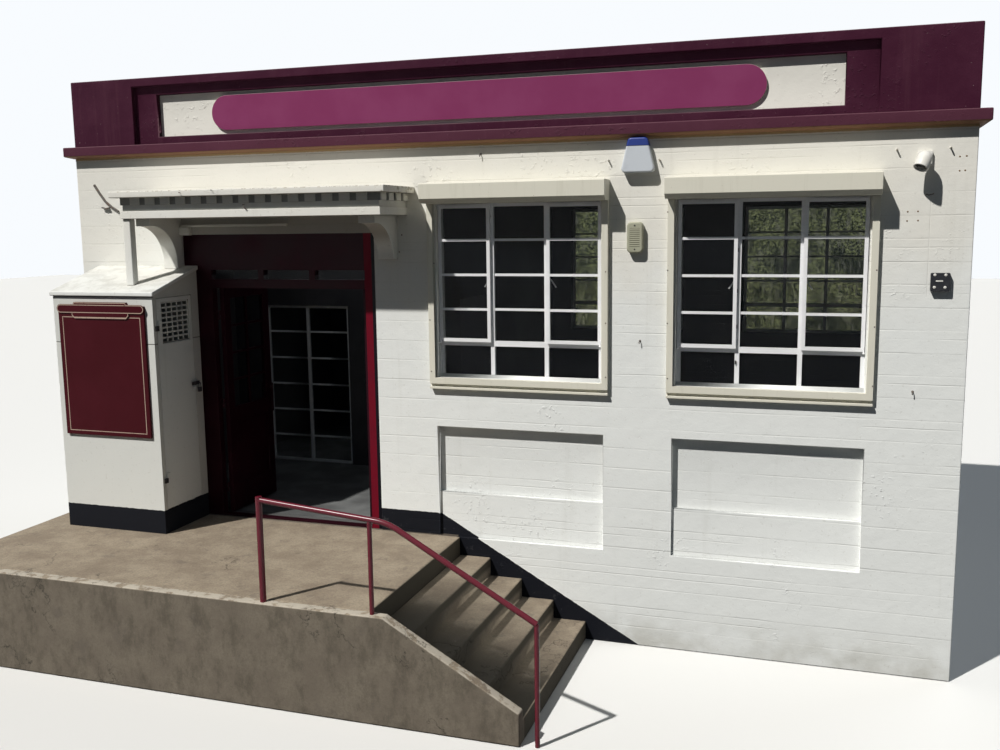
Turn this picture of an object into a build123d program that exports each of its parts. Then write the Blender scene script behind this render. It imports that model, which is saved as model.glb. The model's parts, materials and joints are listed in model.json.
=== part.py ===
from build123d import *
import math
import os

os.makedirs("parts", exist_ok=True)

# Cliff-railway station building. Millimetres throughout.
# x runs along the front from its left corner, y from the front face inwards, and z up from the
# foot of the walls. When a piece is written it is shifted so that the origin is mid-plan.

# Bays of the front, from left to right
left_pier = 1190
door_width = 2050
door_pier = 610
window_width = 1500
middle_pier = 640
right_pier = 740

# Heights, each standing on the one before
floor_level = 850
sill_rise = 1450
window_height = 1590
head_band = 478
roof_thickness = 139
parapet_height = 633
side_parapet_height = 343

# Depth and walls
depth = 5050
wall = 225
side_parapet_thickness = 150

door_left = left_pier
door_right = door_left + door_width
first_window = door_right + door_pier
second_window = first_window + window_width + middle_pier
window_centres = (first_window + window_width / 2, second_window + window_width / 2)
length = second_window + window_width + right_pier
window_sill = floor_level + sill_rise
window_head = window_sill + window_height
wall_top = window_head + head_band
roof_top = wall_top + roof_thickness
parapet_top = roof_top + parapet_height
side_parapet_top = roof_top + side_parapet_height

# Clearances and laps
part_gap = 0.3
swing_gap = 5
lap = 2

# Cornice ledge round the front and the sides
ledge_projection = 80
ledge_face = 90
splay_height = 22

# Sunk field and white panel in the parapet, and the rounded board on it
field_margin = 715
field_top_margin = 82
field_depth = 50
panel_margin = 962
panel_rise = 78
panel_height = 393
panel_depth = 50
sign_margin = 1552
sign_height = 322
sign_thickness = 24

# Felt on the roof, inside the parapets
felt_thickness = 24
felt_edge = 10
felt_chamfer = 8

# Windows: three columns of panes over five rows, with the outer columns opening above the low row
pane_row = 307
mullion_offset = 250
frame_set_back = 70
frame_deep = 35
frame_bar = 32
mullion_bar = 38
transom_bar = 48
glazing_bar = 22
glazing_bar_deep = 20
pane_thickness = 6
leaf_deep = 25
leaf_bar = 30
leaf_lap = 10
pivot_radius = 7
pivot_proud = 6
pivot_height = 40
strap_thickness = 8
strap_margin = 1
strap_nose = 2
sloped_sill_front = 37
sloped_sill_back = 66

# Roller shutter boxes and side guides
box_over = 75
box_rise = 0
box_height = 172
box_projection = 205
box_chamfer = 6
box_splay = 38
box_skin = 12
curtain_height = 60
guide_over = 70
guide_face = 54
guide_projection = 45
sill_rail = 102
sill_rail_face = 56
sill_lip = 20
sill_groove_depth = 30
groove_front = 12
groove_width = 14
groove_depth = 35

# Sunk panels below the windows, each with a shallower field low down
sunk_margin = 20
sunk_drop = 422
sunk_high_field = 613
sunk_low_field = 417
sunk_depth = 70
sunk_low_depth = 35

# Doorways
jamb_face = 110
entrance_left_jamb = 300
jamb_front = 20
jamb_back = 98
leaf_opening = 2275
head_rail = 86
fanlight_height = 89
doorway_height = 2790
fanlight_bar = 60
fanlight_count = 3
threshold = 15
leaf_thickness = 44
leaf_stile = 105
leaf_bottom_rail = 260
leaf_lock_rail = 150
leaf_lock_level = 900
leaf_panel_recess = 14
leaf_pane_bar = 22
leaf_pane_bar_deep = 28
leaf_pane_rows = 4
pull_low = 900
pull_height = 300
pull_width = 20
pull_deep = 14
pull_stand = 40
pull_foot = 30

# Butt hinges with round eyes
eye_radius = 9
eye_length = 45
eye_off = 16
door_hinge_reach = 30
leaf_hinge_reach = 40
door_hinge_levels = (220, 1080, 1960)

# Canopy over the entrance
canopy_left_over = 305
canopy_right_over = 413
canopy_projection = 650
canopy_rise = 155
canopy_height = 247
canopy_edge = 58
frieze_inset = 85
dentil_height = 66
dentil_stand = 25
dentil_block = 100
dentil_pitch = 164
dentil_end_count = 4
fascia_height = 68
fascia_stand = 14

# Concave corbels under the canopy and the post at its left end
corbel_width = 157
left_corbel_out = 150
right_corbel_out = 85
corbel_height = 392
corbel_nose = 480
corbel_nose_height = 70
corbel_foot = 98
post_in = 72
post_width = 80
post_front = 560
post_deep = 75

# Booth to the left of the entrance
booth_left = 222
booth_lap = 144
booth_front = 700
booth_wall = 60
booth_front_height = 2280
booth_back_rise = 215
coping_thickness = 42
coping_over = 22
hatch_front = 50
hatch_back = 110
hatch_rise = 225
hatch_head = 18
hatch_thickness = 30
hatch_hinge_off = 9
hatch_hinge_low = 260
hatch_hinge_high = 300
latch_level = 1290
latch_size = 32
latch_length = 52
latch_stand = 14
grille_drop = 40
grille_height = 390
grille_near = 160
grille_width = 420
grille_columns = 5
grille_rows = 8
grille_bar = 16
grille_thickness = 8
grille_set_in = 8

# Notice board on the booth, with a rounded header between two stepped tabs
notice_left_in = 70
notice_right_in = 84
notice_rise = 920
notice_height = 1230
notice_thickness = 22
header_out = 7
header_height = 82
header_drop = 29
header_stand = 10
tab_in = 160
tab_height = 62
tab_slope = 30

# Inside walls and screen
lobby_depth = 2350
inner_wall = 100
partition_out = 260
passage_near = 1250
passage_width = 900
passage_height = 2100
screen_left = 650
screen_column = 555
screen_columns = 2
screen_row = 320
screen_rows = 6
screen_set_in = 30
way_through_left = 2150
way_through_width = 1000

# Back of the building
back_window_shift = 130
platform_door_left = 1150
platform_door_width = 1700
back_sill_over = 60
back_sill_height = 70
back_sill_out = 45
door_sill_over = 120
door_sill_height = 140
door_sill_out = 180

# Landing, kerb, steps and handrail
landing_left = -110
landing_beyond_door = 790
landing_deep = 1920
kerb_width = 100
kerb_beyond = 140
step_count = 5
going = 298
rail_radius = 22
rail_post_radius = 18
rail_height = 712
rail_fall = 93
rail_bend = 450
rail_level_run = 1065
rail_slope_start = 185
rail_post_over = 3
rail_foot_beyond = 120
rail_post_at = 40

# Small fittings on the front
alarm_shift = 2
alarm_drop = 118
alarm_foot = 290
alarm_head = 160
alarm_height = 284
alarm_thickness = 80
alarm_corner = 34
sounder_shift = -20
sounder_drop = 310
sounder_width = 134
sounder_height = 256
sounder_thickness = 60
sounder_corner = 35
camera_in = 370
camera_drop = 208
camera_base = 104
camera_base_thickness = 30
camera_arm = 32
camera_reach = 110
camera_body = 48
camera_length = 190
camera_tilt = 70
camera_turn = 10
switch_in = 220
switch_drop = 668
switch_size = 140
switch_thickness = 45
switch_corner = 10

# Back gutter and downpipes
gutter_radius = 56
gutter_skin = 4
gutter_drop = 20
gutter_bracket = 30
gutter_bracket_count = 7
pipe_radius = 35
pipe_in = 140
pipe_foot = 80
pipe_bracket = 40
pipe_bracket_over = 14
pipe_bracket_lap = 5
pipe_bracket_levels = (850, 2600, 4100)

# Places worked out from the sizes above
door_top = floor_level + doorway_height
door_head = floor_level + leaf_opening
fanlight_low = door_head + head_rail
fanlight_high = fanlight_low + fanlight_height
leaf_foot = floor_level + threshold + swing_gap
box_bottom = window_head + box_rise
guide_bottom = window_sill + sloped_sill_front
sunk_top = window_sill - sunk_drop
sunk_ledge = sunk_top - sunk_high_field
sunk_bottom = sunk_ledge - sunk_low_field
canopy_left = door_left - canopy_left_over
canopy_right = door_right + canopy_right_over
canopy_soffit = door_top + canopy_rise
canopy_top = canopy_soffit + canopy_height
corbel_bottom = canopy_soffit - corbel_height
booth_right = door_left + booth_lap
coping_front = floor_level + booth_front_height
coping_back = coping_front + booth_back_rise
hatch_bottom = floor_level + hatch_rise
hatch_top = min(coping_front, coping_back) - coping_thickness - hatch_head
grille_top = hatch_top - grille_drop
grille_low = grille_top - grille_height
partition_left = door_right + partition_out
lobby_end = lobby_depth + inner_wall
landing_edge = door_right + landing_beyond_door
riser = floor_level / step_count
kerb_front = landing_deep + kerb_width
pier_middle = (window_centres[0] + window_centres[1]) / 2
back_window_centres = (window_centres[0], window_centres[1] + back_window_shift)
platform_door_right = platform_door_left + platform_door_width
splay_low = roof_top - ledge_face - splay_height

shift = Location((-length / 2, -depth / 2, 0))
turned_round = Location((length, depth, 0), (0, 0, 180))


def block(x0, x1, y0, y1, z0, z1):
    """A box between two corners."""
    size = Box(x1 - x0, y1 - y0, z1 - z0)
    return Location(((x0 + x1) / 2, (y0 + y1) / 2, (z0 + z1) / 2)) * size


def upright(x, y, z0, z1, radius):
    """A round bar standing on end."""
    return Location((x, y, (z0 + z1) / 2)) * Cylinder(radius, z1 - z0)


def side_profile(x0, x1, points):
    """A closed outline of (distance in front of the wall, height) points, as wide as x0 to x1."""
    with BuildSketch(Plane.YZ) as outline:
        with BuildLine():
            Polyline(*[(-out, level) for out, level in points], close=True)
        make_face()
    return Location((x0, 0, 0)) * extrude(outline.sketch, x1 - x0)


def front_profile(points, y, thickness):
    """A closed outline of (x, height) points, standing out from y by its thickness."""
    with BuildSketch(Plane.XZ) as outline:
        with BuildLine():
            Polyline(*points, close=True)
        make_face()
    return Location((0, y, 0)) * extrude(outline.sketch, thickness)


def save(node, shape):
    """Writes one sub-part, moved so that the origin is mid-plan at the foot of the walls."""
    shape = shift * shape
    shape.label = node
    export_step(shape, "parts/" + node + ".step")


def joined(pieces):
    """One shape from many that touch or overlap."""
    result = pieces[0]
    for piece in pieces[1:]:
        result = result + piece
    return result


# Floor, walls and roof

def floor_slab():
    return block(wall, length - wall, wall, depth - wall, 0, floor_level)


def front_wall():
    body = block(0, length, 0, wall, 0, wall_top)
    body -= block(door_left, door_right, -lap, wall + lap, floor_level, door_top)
    for centre in window_centres:
        half = window_width / 2
        body -= block(centre - half, centre + half, -lap, wall + lap, window_sill, window_head)
        sill = [(0, window_sill - lap), (0, window_sill + sloped_sill_front),
                (-frame_set_back, window_sill + sloped_sill_back), (-frame_set_back, window_sill - lap)]
        body += side_profile(centre - half - lap, centre + half + lap, sill)
        half = window_width / 2 + sunk_margin
        body -= block(centre - half, centre + half, -lap, sunk_low_depth, sunk_bottom, sunk_top)
        body -= block(centre - half, centre + half, -lap, sunk_depth, sunk_ledge, sunk_top)
    return body


def back_sill(x0, x1, over, top, height, out):
    """A sill with a weathered edge, standing out from the back wall."""
    body = block(x0 - over, x1 + over, depth - lap, depth + out, top - height, top)
    edge = body.edges().filter_by(Axis.X).group_by(Axis.Y)[-1].group_by(Axis.Z)[-1]
    return chamfer(edge, out / 3)


def back_wall():
    body = block(0, length, depth - wall, depth, 0, wall_top)
    half = window_width / 2
    y0, y1 = depth - wall - lap, depth + lap
    for centre in back_window_centres:
        x0, x1 = centre - half, centre + half
        body -= block(x0, x1, y0, y1, window_sill, window_head)
        body += back_sill(x0, x1, back_sill_over, window_sill, back_sill_height, back_sill_out)
    x0, x1 = platform_door_left, platform_door_right
    body -= block(x0, x1, y0, y1, floor_level, door_top)
    return body + back_sill(x0, x1, door_sill_over, floor_level, door_sill_height, door_sill_out)


def side_wall(x0):
    return block(x0, x0 + wall, wall, depth - wall, 0, wall_top)


def roof_slab():
    return block(0, length, 0, depth, wall_top, roof_top)


def roof_felt():
    """Felted deck that fills the roof inside the parapets, with a sloped edge."""
    x0 = side_parapet_thickness + felt_edge
    body = block(x0, length - x0, wall + felt_edge, depth - felt_edge, roof_top, roof_top + felt_thickness)
    return chamfer(body.faces().sort_by(Axis.Z)[-1].edges(), felt_chamfer)


def cornice():
    out = ledge_projection
    ledge_low = roof_top - ledge_face
    ledge = block(-out, length + out, -out, depth, ledge_low, roof_top)
    low = Location((length / 2, depth / 2, splay_low)) * Rectangle(length, depth)
    high = Location((length / 2, (depth - out) / 2, ledge_low)) * Rectangle(length + 2 * out, depth + out)
    splay = loft([low, high])
    core = block(0, length, 0, depth + lap, wall_top - lap, roof_top + lap)
    return ledge + splay - core


def parapet():
    front = block(0, length, 0, wall, roof_top, parapet_top)
    sides = []
    for x0 in (0, length - side_parapet_thickness):
        sides.append(block(x0, x0 + side_parapet_thickness, wall, depth, roof_top, side_parapet_top))
    field_top = parapet_top - field_top_margin
    front -= block(field_margin, length - field_margin, -lap, field_depth, roof_top, field_top)
    panel_low = roof_top + panel_rise
    sunk = field_depth + panel_depth
    front -= block(panel_margin, length - panel_margin, -lap, sunk, panel_low, panel_low + panel_height)
    return joined([front] + sides)


def sign_board():
    middle = roof_top + panel_rise + panel_height / 2
    outline = SlotOverall(length - 2 * sign_margin, sign_height)
    face = field_depth + panel_depth
    plane = Plane(origin=(length / 2, face, middle), x_dir=(1, 0, 0), z_dir=(0, -1, 0))
    return extrude(plane * outline, sign_thickness)


# Windows

def window_levels():
    """Heights of the bar between the low row and the rest, and of the bars above it."""
    transom = window_head - frame_bar / 2 - 4 * pane_row
    return transom, [transom + row * pane_row for row in (1, 2, 3)]


def pane_spans(low, bars, high):
    """Low and high edges of the panes that the glazing bars part."""
    edges = [low]
    for level in bars:
        edges += [level - glazing_bar / 2, level + glazing_bar / 2]
    edges.append(high)
    return list(zip(edges[0::2], edges[1::2]))


def glazing_bars(x0, x1, middle, bars):
    half_deep = glazing_bar_deep / 2
    half = glazing_bar / 2
    return [block(x0, x1, middle - half_deep, middle + half_deep, z - half, z + half) for z in bars]


def pane(x0, x1, middle, z0, z1):
    return block(x0, x1, middle - pane_thickness / 2, middle + pane_thickness / 2, z0, z1)


def fixed_window(centre, front, facing):
    """Fixed frame with two mullions, a heavier bar over the low row and bars in the middle column.

    front is the y of the frame's outer face, and facing is 1 where inwards is +y and -1 otherwise.
    """
    y0, y1 = sorted((front, front + facing * frame_deep))
    left = centre - window_width / 2
    right = centre + window_width / 2
    outer = block(left, right, y0, y1, window_sill, window_head)
    inner = block(left + frame_bar, right - frame_bar, y0 - lap, y1 + lap,
                  window_sill + frame_bar, window_head - frame_bar)
    transom, bars = window_levels()
    half = transom_bar / 2
    pieces = [outer - inner, block(left + lap, right - lap, y0, y1, transom - half, transom + half)]
    half = mullion_bar / 2
    for side in (-1, 1):
        x = centre + side * mullion_offset
        pieces.append(block(x - half, x + half, y0, y1, window_sill + lap, window_head - lap))
    pieces += glazing_bars(centre - mullion_offset, centre + mullion_offset, (y0 + y1) / 2, bars)
    return joined(pieces)


def fixed_panes(centre, front, facing):
    """Panes of the middle column and of the low row."""
    middle = front + facing * frame_deep / 2
    transom, bars = window_levels()
    high, low = transom + transom_bar / 2, transom - transom_bar / 2
    inside = mullion_offset - mullion_bar / 2
    outside = mullion_offset + mullion_bar / 2
    panes = [pane(centre - inside, centre + inside, middle, z0, z1)
             for z0, z1 in pane_spans(high, bars, window_head - frame_bar)]
    edge = window_width / 2 - frame_bar
    for x0, x1 in ((-edge, -outside), (-inside, inside), (outside, edge)):
        panes.append(pane(centre + x0, centre + x1, middle, window_sill + frame_bar, low))
    return panes


def shut_column(centre, front, facing, side):
    """Bars and panes of an outer column that doesn't open, as in the back windows."""
    transom, bars = window_levels()
    middle = front + facing * frame_deep / 2
    edge = centre + side * (window_width / 2 - frame_bar)
    inside = centre + side * (mullion_offset + mullion_bar / 2)
    x0, x1 = sorted((edge, inside))
    spans = pane_spans(transom + transom_bar / 2, bars, window_head - frame_bar)
    panes = [pane(x0, x1, middle, low, high) for low, high in spans]
    return glazing_bars(x0 - lap, x1 + lap, middle, bars), panes


def casement_sizes(centre, side):
    """Hinge edge, meeting edge, bottom and top of an opening leaf on one side of a window."""
    hinge_edge = centre + side * (window_width / 2 - swing_gap)
    meeting_edge = centre + side * (mullion_offset + mullion_bar / 2 - leaf_lap)
    bottom = window_levels()[0] + transom_bar / 2 - leaf_lap
    top = window_head - strap_thickness - swing_gap
    return hinge_edge, meeting_edge, bottom, top


def casement_faces():
    """y of a casement's outer and inner faces, and of its pivot."""
    inner = frame_set_back - swing_gap
    outer = inner - leaf_deep
    return outer, inner, outer - pivot_proud


def casement(centre, side):
    hinge_edge, meeting_edge, bottom, top = casement_sizes(centre, side)
    outer, inner, pivot_y = casement_faces()
    x0, x1 = sorted((hinge_edge, meeting_edge))
    frame = block(x0, x1, outer, inner, bottom, top)
    frame -= block(x0 + leaf_bar, x1 - leaf_bar, outer - lap, inner + lap, bottom + leaf_bar, top - leaf_bar)
    bars = glazing_bars(x0 + leaf_bar - lap, x1 - leaf_bar + lap, (outer + inner) / 2, window_levels()[1])
    pivot_x = hinge_edge - side * pivot_radius
    reach = swing_gap - part_gap
    pins = []
    for low, high in ((bottom - reach, bottom + pivot_height), (top - pivot_height, top + reach)):
        pins.append(upright(pivot_x, pivot_y, low, high, pivot_radius))
    return joined([frame] + bars + pins)


def casement_panes(centre, side):
    hinge_edge, meeting_edge, bottom, top = casement_sizes(centre, side)
    outer, inner, pivot_y = casement_faces()
    x0, x1 = sorted((hinge_edge, meeting_edge))
    spans = pane_spans(bottom + leaf_bar, window_levels()[1], top - leaf_bar)
    middle = (outer + inner) / 2
    return [pane(x0 + leaf_bar, x1 - leaf_bar, middle, low, high) for low, high in spans]


def pivot_straps(centre):
    """Straps that carry the casements' pivots out from the fixed frame."""
    pivot_y = casement_faces()[2]
    straps = []
    for side in (-1, 1):
        hinge_edge, meeting_edge, bottom, top = casement_sizes(centre, side)
        pivot_x = hinge_edge - side * pivot_radius
        half = pivot_radius + strap_margin
        y0 = pivot_y - pivot_radius - strap_nose
        x0, x1 = pivot_x - half, pivot_x + half
        for z0 in (bottom - swing_gap - strap_thickness, top + swing_gap):
            straps.append(block(x0, x1, y0, frame_set_back + lap, z0, z0 + strap_thickness))
    return straps


def front_window(centre):
    return joined([fixed_window(centre, frame_set_back, 1)] + pivot_straps(centre))


# Shutters

def shutter_box(centre):
    """Folded box, splayed along its foot, with a slot underneath where the curtain comes out."""
    half = window_width / 2 + box_over
    body = block(centre - half, centre + half, -box_projection, 0, box_bottom, box_bottom + box_height)
    high_edge = body.edges().filter_by(Axis.X).group_by(Axis.Y)[0].sort_by(Axis.Z)[-1]
    body = chamfer(high_edge, box_chamfer)
    low_edge = body.edges().filter_by(Axis.X).group_by(Axis.Y)[0].sort_by(Axis.Z)[0]
    body = chamfer(low_edge, box_splay)
    slot = half - box_skin
    return body - block(centre - slot, centre + slot, -guide_projection + box_skin, -box_skin,
                        box_bottom - lap, box_bottom + curtain_height)


def shutter_guides(centre):
    """Two side guides on a sill rail with a groove above its lip."""
    half = window_width / 2 + guide_over
    rail_low = guide_bottom - sill_rail
    rail = block(centre - half, centre + half, -guide_projection, 0, rail_low, guide_bottom)
    rail -= block(centre - half - lap, centre + half + lap, -guide_projection - lap,
                  -guide_projection + sill_groove_depth, rail_low + sill_lip, guide_bottom - sill_rail_face)
    pieces = [rail]
    groove_y = -guide_projection + groove_front
    for side in (-1, 1):
        outer = centre + side * half
        inner = outer - side * guide_face
        x0, x1 = sorted((outer, inner))
        rail = block(x0, x1, -guide_projection, 0, guide_bottom, box_bottom)
        g0, g1 = sorted((inner - side * lap, inner + side * groove_depth))
        rail -= block(g0, g1, groove_y, groove_y + groove_width, guide_bottom - lap, box_bottom + lap)
        pieces.append(rail)
    return joined(pieces)


# Doorways. Each is made as in the front, and the platform's is then turned round. left and right are
# the edges of the clear opening, and the jambs stand outside them.

def hinge_eye(reach, foot, radius):
    """One half of a hinge: a round eye at the origin on a plate towards +x, its foot towards -y."""
    with BuildSketch() as outline:
        with BuildLine():
            Line((0, radius), (reach, radius))
            Line((reach, radius), (reach, -foot))
            Line((reach, -foot), (0, -foot))
            Line((0, -foot), (0, -radius))
            ThreePointArc((0, -radius), (-radius, 0), (0, radius))
        make_face()
    return extrude(outline.sketch, eye_length)


def door_pivot(left, right, side):
    """Hinge line of a leaf; side is -1 for the left one."""
    edge = left if side < 0 else right
    return edge - side * swing_gap, jamb_back + eye_off - lap


def fanlight_bars(left, right):
    return [left + (right - left) * share / fanlight_count for share in range(1, fanlight_count)]


def doorway_frame(left, right, left_jamb):
    """Jambs, head and fanlight bars, with the fixed halves of the hinges."""
    body = block(left - left_jamb, right + jamb_face, jamb_front, jamb_back, floor_level, door_top)
    for low, high in ((floor_level + threshold, door_head), (fanlight_low, fanlight_high)):
        body -= block(left, right, jamb_front - lap, jamb_back + lap, low, high)
    half = fanlight_bar / 2
    for x in fanlight_bars(left, right):
        body += block(x - half, x + half, jamb_front, jamb_back, fanlight_low - lap, fanlight_high + lap)
    eye = hinge_eye(door_hinge_reach, eye_off, eye_radius)
    for side in (-1, 1):
        x, y = door_pivot(left, right, side)
        half_hinge = eye if side > 0 else mirror(eye, Plane.YZ)
        for level in door_hinge_levels:
            body += Location((x, y, floor_level + level)) * half_hinge
    return body


def fanlight_panes(left, right):
    edges = [left]
    for x in fanlight_bars(left, right):
        edges += [x - fanlight_bar / 2, x + fanlight_bar / 2]
    edges.append(right)
    middle = (jamb_front + jamb_back) / 2
    return [pane(x0, x1, middle, fanlight_low, fanlight_high) for x0, x1 in zip(edges[0::2], edges[1::2])]


def pull_handle(x, face, outwards):
    """Flat pull bar on two feet, standing out from a face of a leaf."""
    y = face + outwards * pull_stand
    bar = sorted((y, y - outwards * pull_deep))
    half = pull_width / 2
    pieces = [block(x - half, x + half, bar[0], bar[1], pull_low, pull_low + pull_height)]
    foot = sorted((y - outwards * lap, face - outwards * lap))
    for z in (pull_low + pull_foot, pull_low + pull_height - pull_foot - pull_width):
        pieces.append(block(x - half, x + half, foot[0], foot[1], z, z + pull_width))
    return joined(pieces)


def door_leaf_solids(width, height):
    """A leaf hung at x = 0 and y = 0, running along +x, its inner face towards +y."""
    back = -eye_off
    front = back - leaf_thickness
    middle = (front + back) / 2
    x0, x1 = leaf_stile, width - leaf_stile
    glass_low = leaf_lock_level + leaf_lock_rail
    glass_high = height - leaf_stile
    body = block(0, width, front, back, 0, height)
    body -= block(x0, x1, front - lap, back + lap, glass_low, glass_high)
    for y0, y1 in ((front - lap, front + leaf_panel_recess), (back - leaf_panel_recess, back + lap)):
        body -= block(x0, x1, y0, y1, leaf_bottom_rail, leaf_lock_level)
    row_height = (glass_high - glass_low) / leaf_pane_rows
    bar = leaf_pane_bar / 2
    y0, y1 = middle - leaf_pane_bar_deep / 2, middle + leaf_pane_bar_deep / 2
    body += block(width / 2 - bar, width / 2 + bar, y0, y1, glass_low - lap, glass_high + lap)
    for row in range(1, leaf_pane_rows):
        z = glass_low + row * row_height
        body += block(x0 - lap, x1 + lap, y0, y1, z - bar, z + bar)
    eye = hinge_eye(leaf_hinge_reach, eye_off + lap, eye_radius)
    for level in door_hinge_levels:
        z = floor_level + level - leaf_foot + eye_length + part_gap
        body += Location((0, 0, z)) * eye
    for face, outwards in ((front, -1), (back, 1)):
        body += pull_handle(width - leaf_stile / 2, face, outwards)
    panes = []
    columns = ((x0, width / 2 - bar), (width / 2 + bar, x1))
    for row in range(leaf_pane_rows):
        z0 = glass_low + row * row_height + (bar if row else 0)
        z1 = glass_low + (row + 1) * row_height - (bar if row < leaf_pane_rows - 1 else 0)
        panes += [pane(low, high, middle, z0, z1) for low, high in columns]
    return body, panes


def door_leaf(left, right, side, opened):
    """A leaf and its panes, shut or standing straight in from its hinges."""
    width = (right - left - 3 * swing_gap) / 2
    height = door_head - leaf_foot - swing_gap
    body, panes = door_leaf_solids(width, height)
    x, y = door_pivot(left, right, side)
    place = Location((x, y, leaf_foot), (0, 0, -side * 90 if opened else 0))
    if side > 0:
        body = mirror(body, Plane.YZ)
        panes = [mirror(each, Plane.YZ) for each in panes]
    return place * body, [place * each for each in panes]


# Canopy

def canopy_slab():
    return block(canopy_left, canopy_right, -canopy_projection, 0, canopy_top - canopy_edge, canopy_top)


def canopy_frieze():
    """Sunk frieze with a row of dentils under the slab and a fascia along its foot."""
    top = canopy_top - canopy_edge
    low = top - dentil_height
    left, right = canopy_left + frieze_inset, canopy_right - frieze_inset
    front = -canopy_projection + frieze_inset
    pieces = [block(left, right, front, 0, canopy_soffit, top)]
    out = fascia_stand
    fascia_top = canopy_soffit + fascia_height
    pieces.append(block(left - out, right + out, front - out, 0, canopy_soffit, fascia_top))
    out = dentil_stand
    count = int((right - left) / dentil_pitch)
    start = (left + right - (count - 1) * dentil_pitch - dentil_block) / 2
    for index in range(count):
        x0 = start + index * dentil_pitch
        pieces.append(block(x0, x0 + dentil_block, front - out, front + lap, low, top))
    step = (-front - dentil_block) / (dentil_end_count - 1)
    for index in range(dentil_end_count):
        y0 = front + index * step
        for x0, x1 in ((left - out, left + lap), (right - lap, right + out)):
            pieces.append(block(x0, x1, y0, y0 + dentil_block, low, top))
    return joined(pieces)


def coping_level(out):
    """Top of the booth's coping at a distance in front of the wall."""
    reach = booth_front + coping_over
    return coping_back - (coping_back - coping_front) * out / reach


def corbel(x0, foot_points):
    """Bracket with a square nose and a concave quarter curve down to a thin foot at the wall."""
    nose = canopy_soffit - corbel_nose_height
    reach = corbel_nose - corbel_foot
    drop = nose - corbel_bottom
    turn = math.radians(45)
    middle = (-corbel_nose + reach * math.sin(turn), nose - drop * (1 - math.cos(turn)))
    foot = [(-out, level) for out, level in foot_points]
    with BuildSketch(Plane.YZ) as outline:
        with BuildLine():
            Polyline(foot[-1], (0, canopy_soffit), (-corbel_nose, canopy_soffit), (-corbel_nose, nose))
            ThreePointArc((-corbel_nose, nose), middle, (-corbel_foot, corbel_bottom))
            Polyline((-corbel_foot, corbel_bottom), *foot)
        make_face()
    return Location((x0, 0, 0)) * extrude(outline.sketch, corbel_width)


def corbels():
    """The left one stands on the booth's coping, and the right one ends at the wall."""
    left_foot = [(corbel_foot, coping_level(corbel_foot)), (0, coping_level(0))]
    right_foot = [(0, corbel_bottom)]
    return [corbel(door_left - left_corbel_out, left_foot), corbel(door_right + right_corbel_out, right_foot)]


def canopy_post():
    back = post_front - post_deep
    points = [(post_front, coping_level(post_front)), (back, coping_level(back)),
              (back, canopy_soffit), (post_front, canopy_soffit)]
    x0 = canopy_left + post_in
    return side_profile(x0, x0 + post_width, points)


# Booth

def coping_points(reach, lift, thickness):
    """Outline of a slab that follows the coping's slope, its top lifted above the coping's."""
    high, low = coping_level(0) + lift, coping_level(reach) + lift
    return [(reach, low), (0, high), (0, high - thickness), (reach, low - thickness)]


def booth_coping():
    points = coping_points(booth_front + coping_over, 0, coping_thickness)
    return side_profile(booth_left - coping_over, booth_right + coping_over, points)


def booth_walls():
    """Front and two sides, cut off under the sloping coping, with a doorway in the right side."""
    outer = block(booth_left, booth_right, -booth_front, 0, floor_level, coping_back)
    inner = block(booth_left + booth_wall, booth_right - booth_wall, -booth_front + booth_wall, lap,
                  floor_level - lap, coping_back + lap)
    above = coping_points(booth_front + coping_over, booth_front - coping_thickness, booth_front)
    cut = side_profile(booth_left - coping_over, booth_right + coping_over, above)
    y0, y1 = -booth_front + hatch_front, -hatch_back
    doorway = block(booth_right - booth_wall - lap, booth_right + lap, y0, y1, hatch_bottom, hatch_top)
    return outer - inner - cut - doorway


def hatch_pivot():
    return booth_right + hatch_hinge_off, -booth_front + hatch_front + 2 * swing_gap + lap / 2


def hatch_hinges():
    return (hatch_bottom + hatch_hinge_low, hatch_top - hatch_hinge_high)


def booth_door():
    """Side door with an opening for the grille, hinged at its front edge."""
    x1 = booth_right
    x0 = x1 - hatch_thickness
    y0 = -booth_front + hatch_front + swing_gap
    y1 = -hatch_back - swing_gap
    body = block(x0, x1, y0, y1, hatch_bottom + swing_gap, hatch_top - swing_gap)
    body -= block(x0 - lap, x1 + lap, -grille_near - grille_width, -grille_near, grille_low, grille_top)
    pivot_x, pivot_y = hatch_pivot()
    radius = hatch_hinge_off - lap
    eye = mirror(hinge_eye(leaf_hinge_reach, hatch_hinge_off + lap, radius), Plane.XZ)
    for z in hatch_hinges():
        body += Location((pivot_x, pivot_y, z + eye_length + part_gap), (0, 0, 90)) * eye
    z0 = floor_level + latch_level
    latch_end = y1 - latch_size / 4
    return body + block(x1 - lap, x1 + latch_stand, latch_end - latch_length, latch_end, z0, z0 + latch_size)


def booth_hinges():
    """The fixed halves of the side door's hinges."""
    pivot_x, pivot_y = hatch_pivot()
    eye = hinge_eye(leaf_hinge_reach, hatch_hinge_off, hatch_hinge_off - lap)
    return [Location((pivot_x, pivot_y, z), (0, 0, -90)) * eye for z in hatch_hinges()]


def booth_grille():
    """Pierced plate, its holes evenly spaced between bars."""
    x1 = booth_right - grille_set_in
    x0 = x1 - grille_thickness
    y0 = -grille_near - grille_width
    body = block(x0, x1, y0, -grille_near, grille_low, grille_top)
    step_y = (grille_width - grille_bar) / grille_columns
    step_z = (grille_height - grille_bar) / grille_rows
    for column in range(grille_columns):
        low_y = y0 + grille_bar + column * step_y
        for row in range(grille_rows):
            low_z = grille_low + grille_bar + row * step_z
            body -= block(x0 - lap, x1 + lap, low_y, low_y + step_y - grille_bar,
                          low_z, low_z + step_z - grille_bar)
    return body


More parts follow.
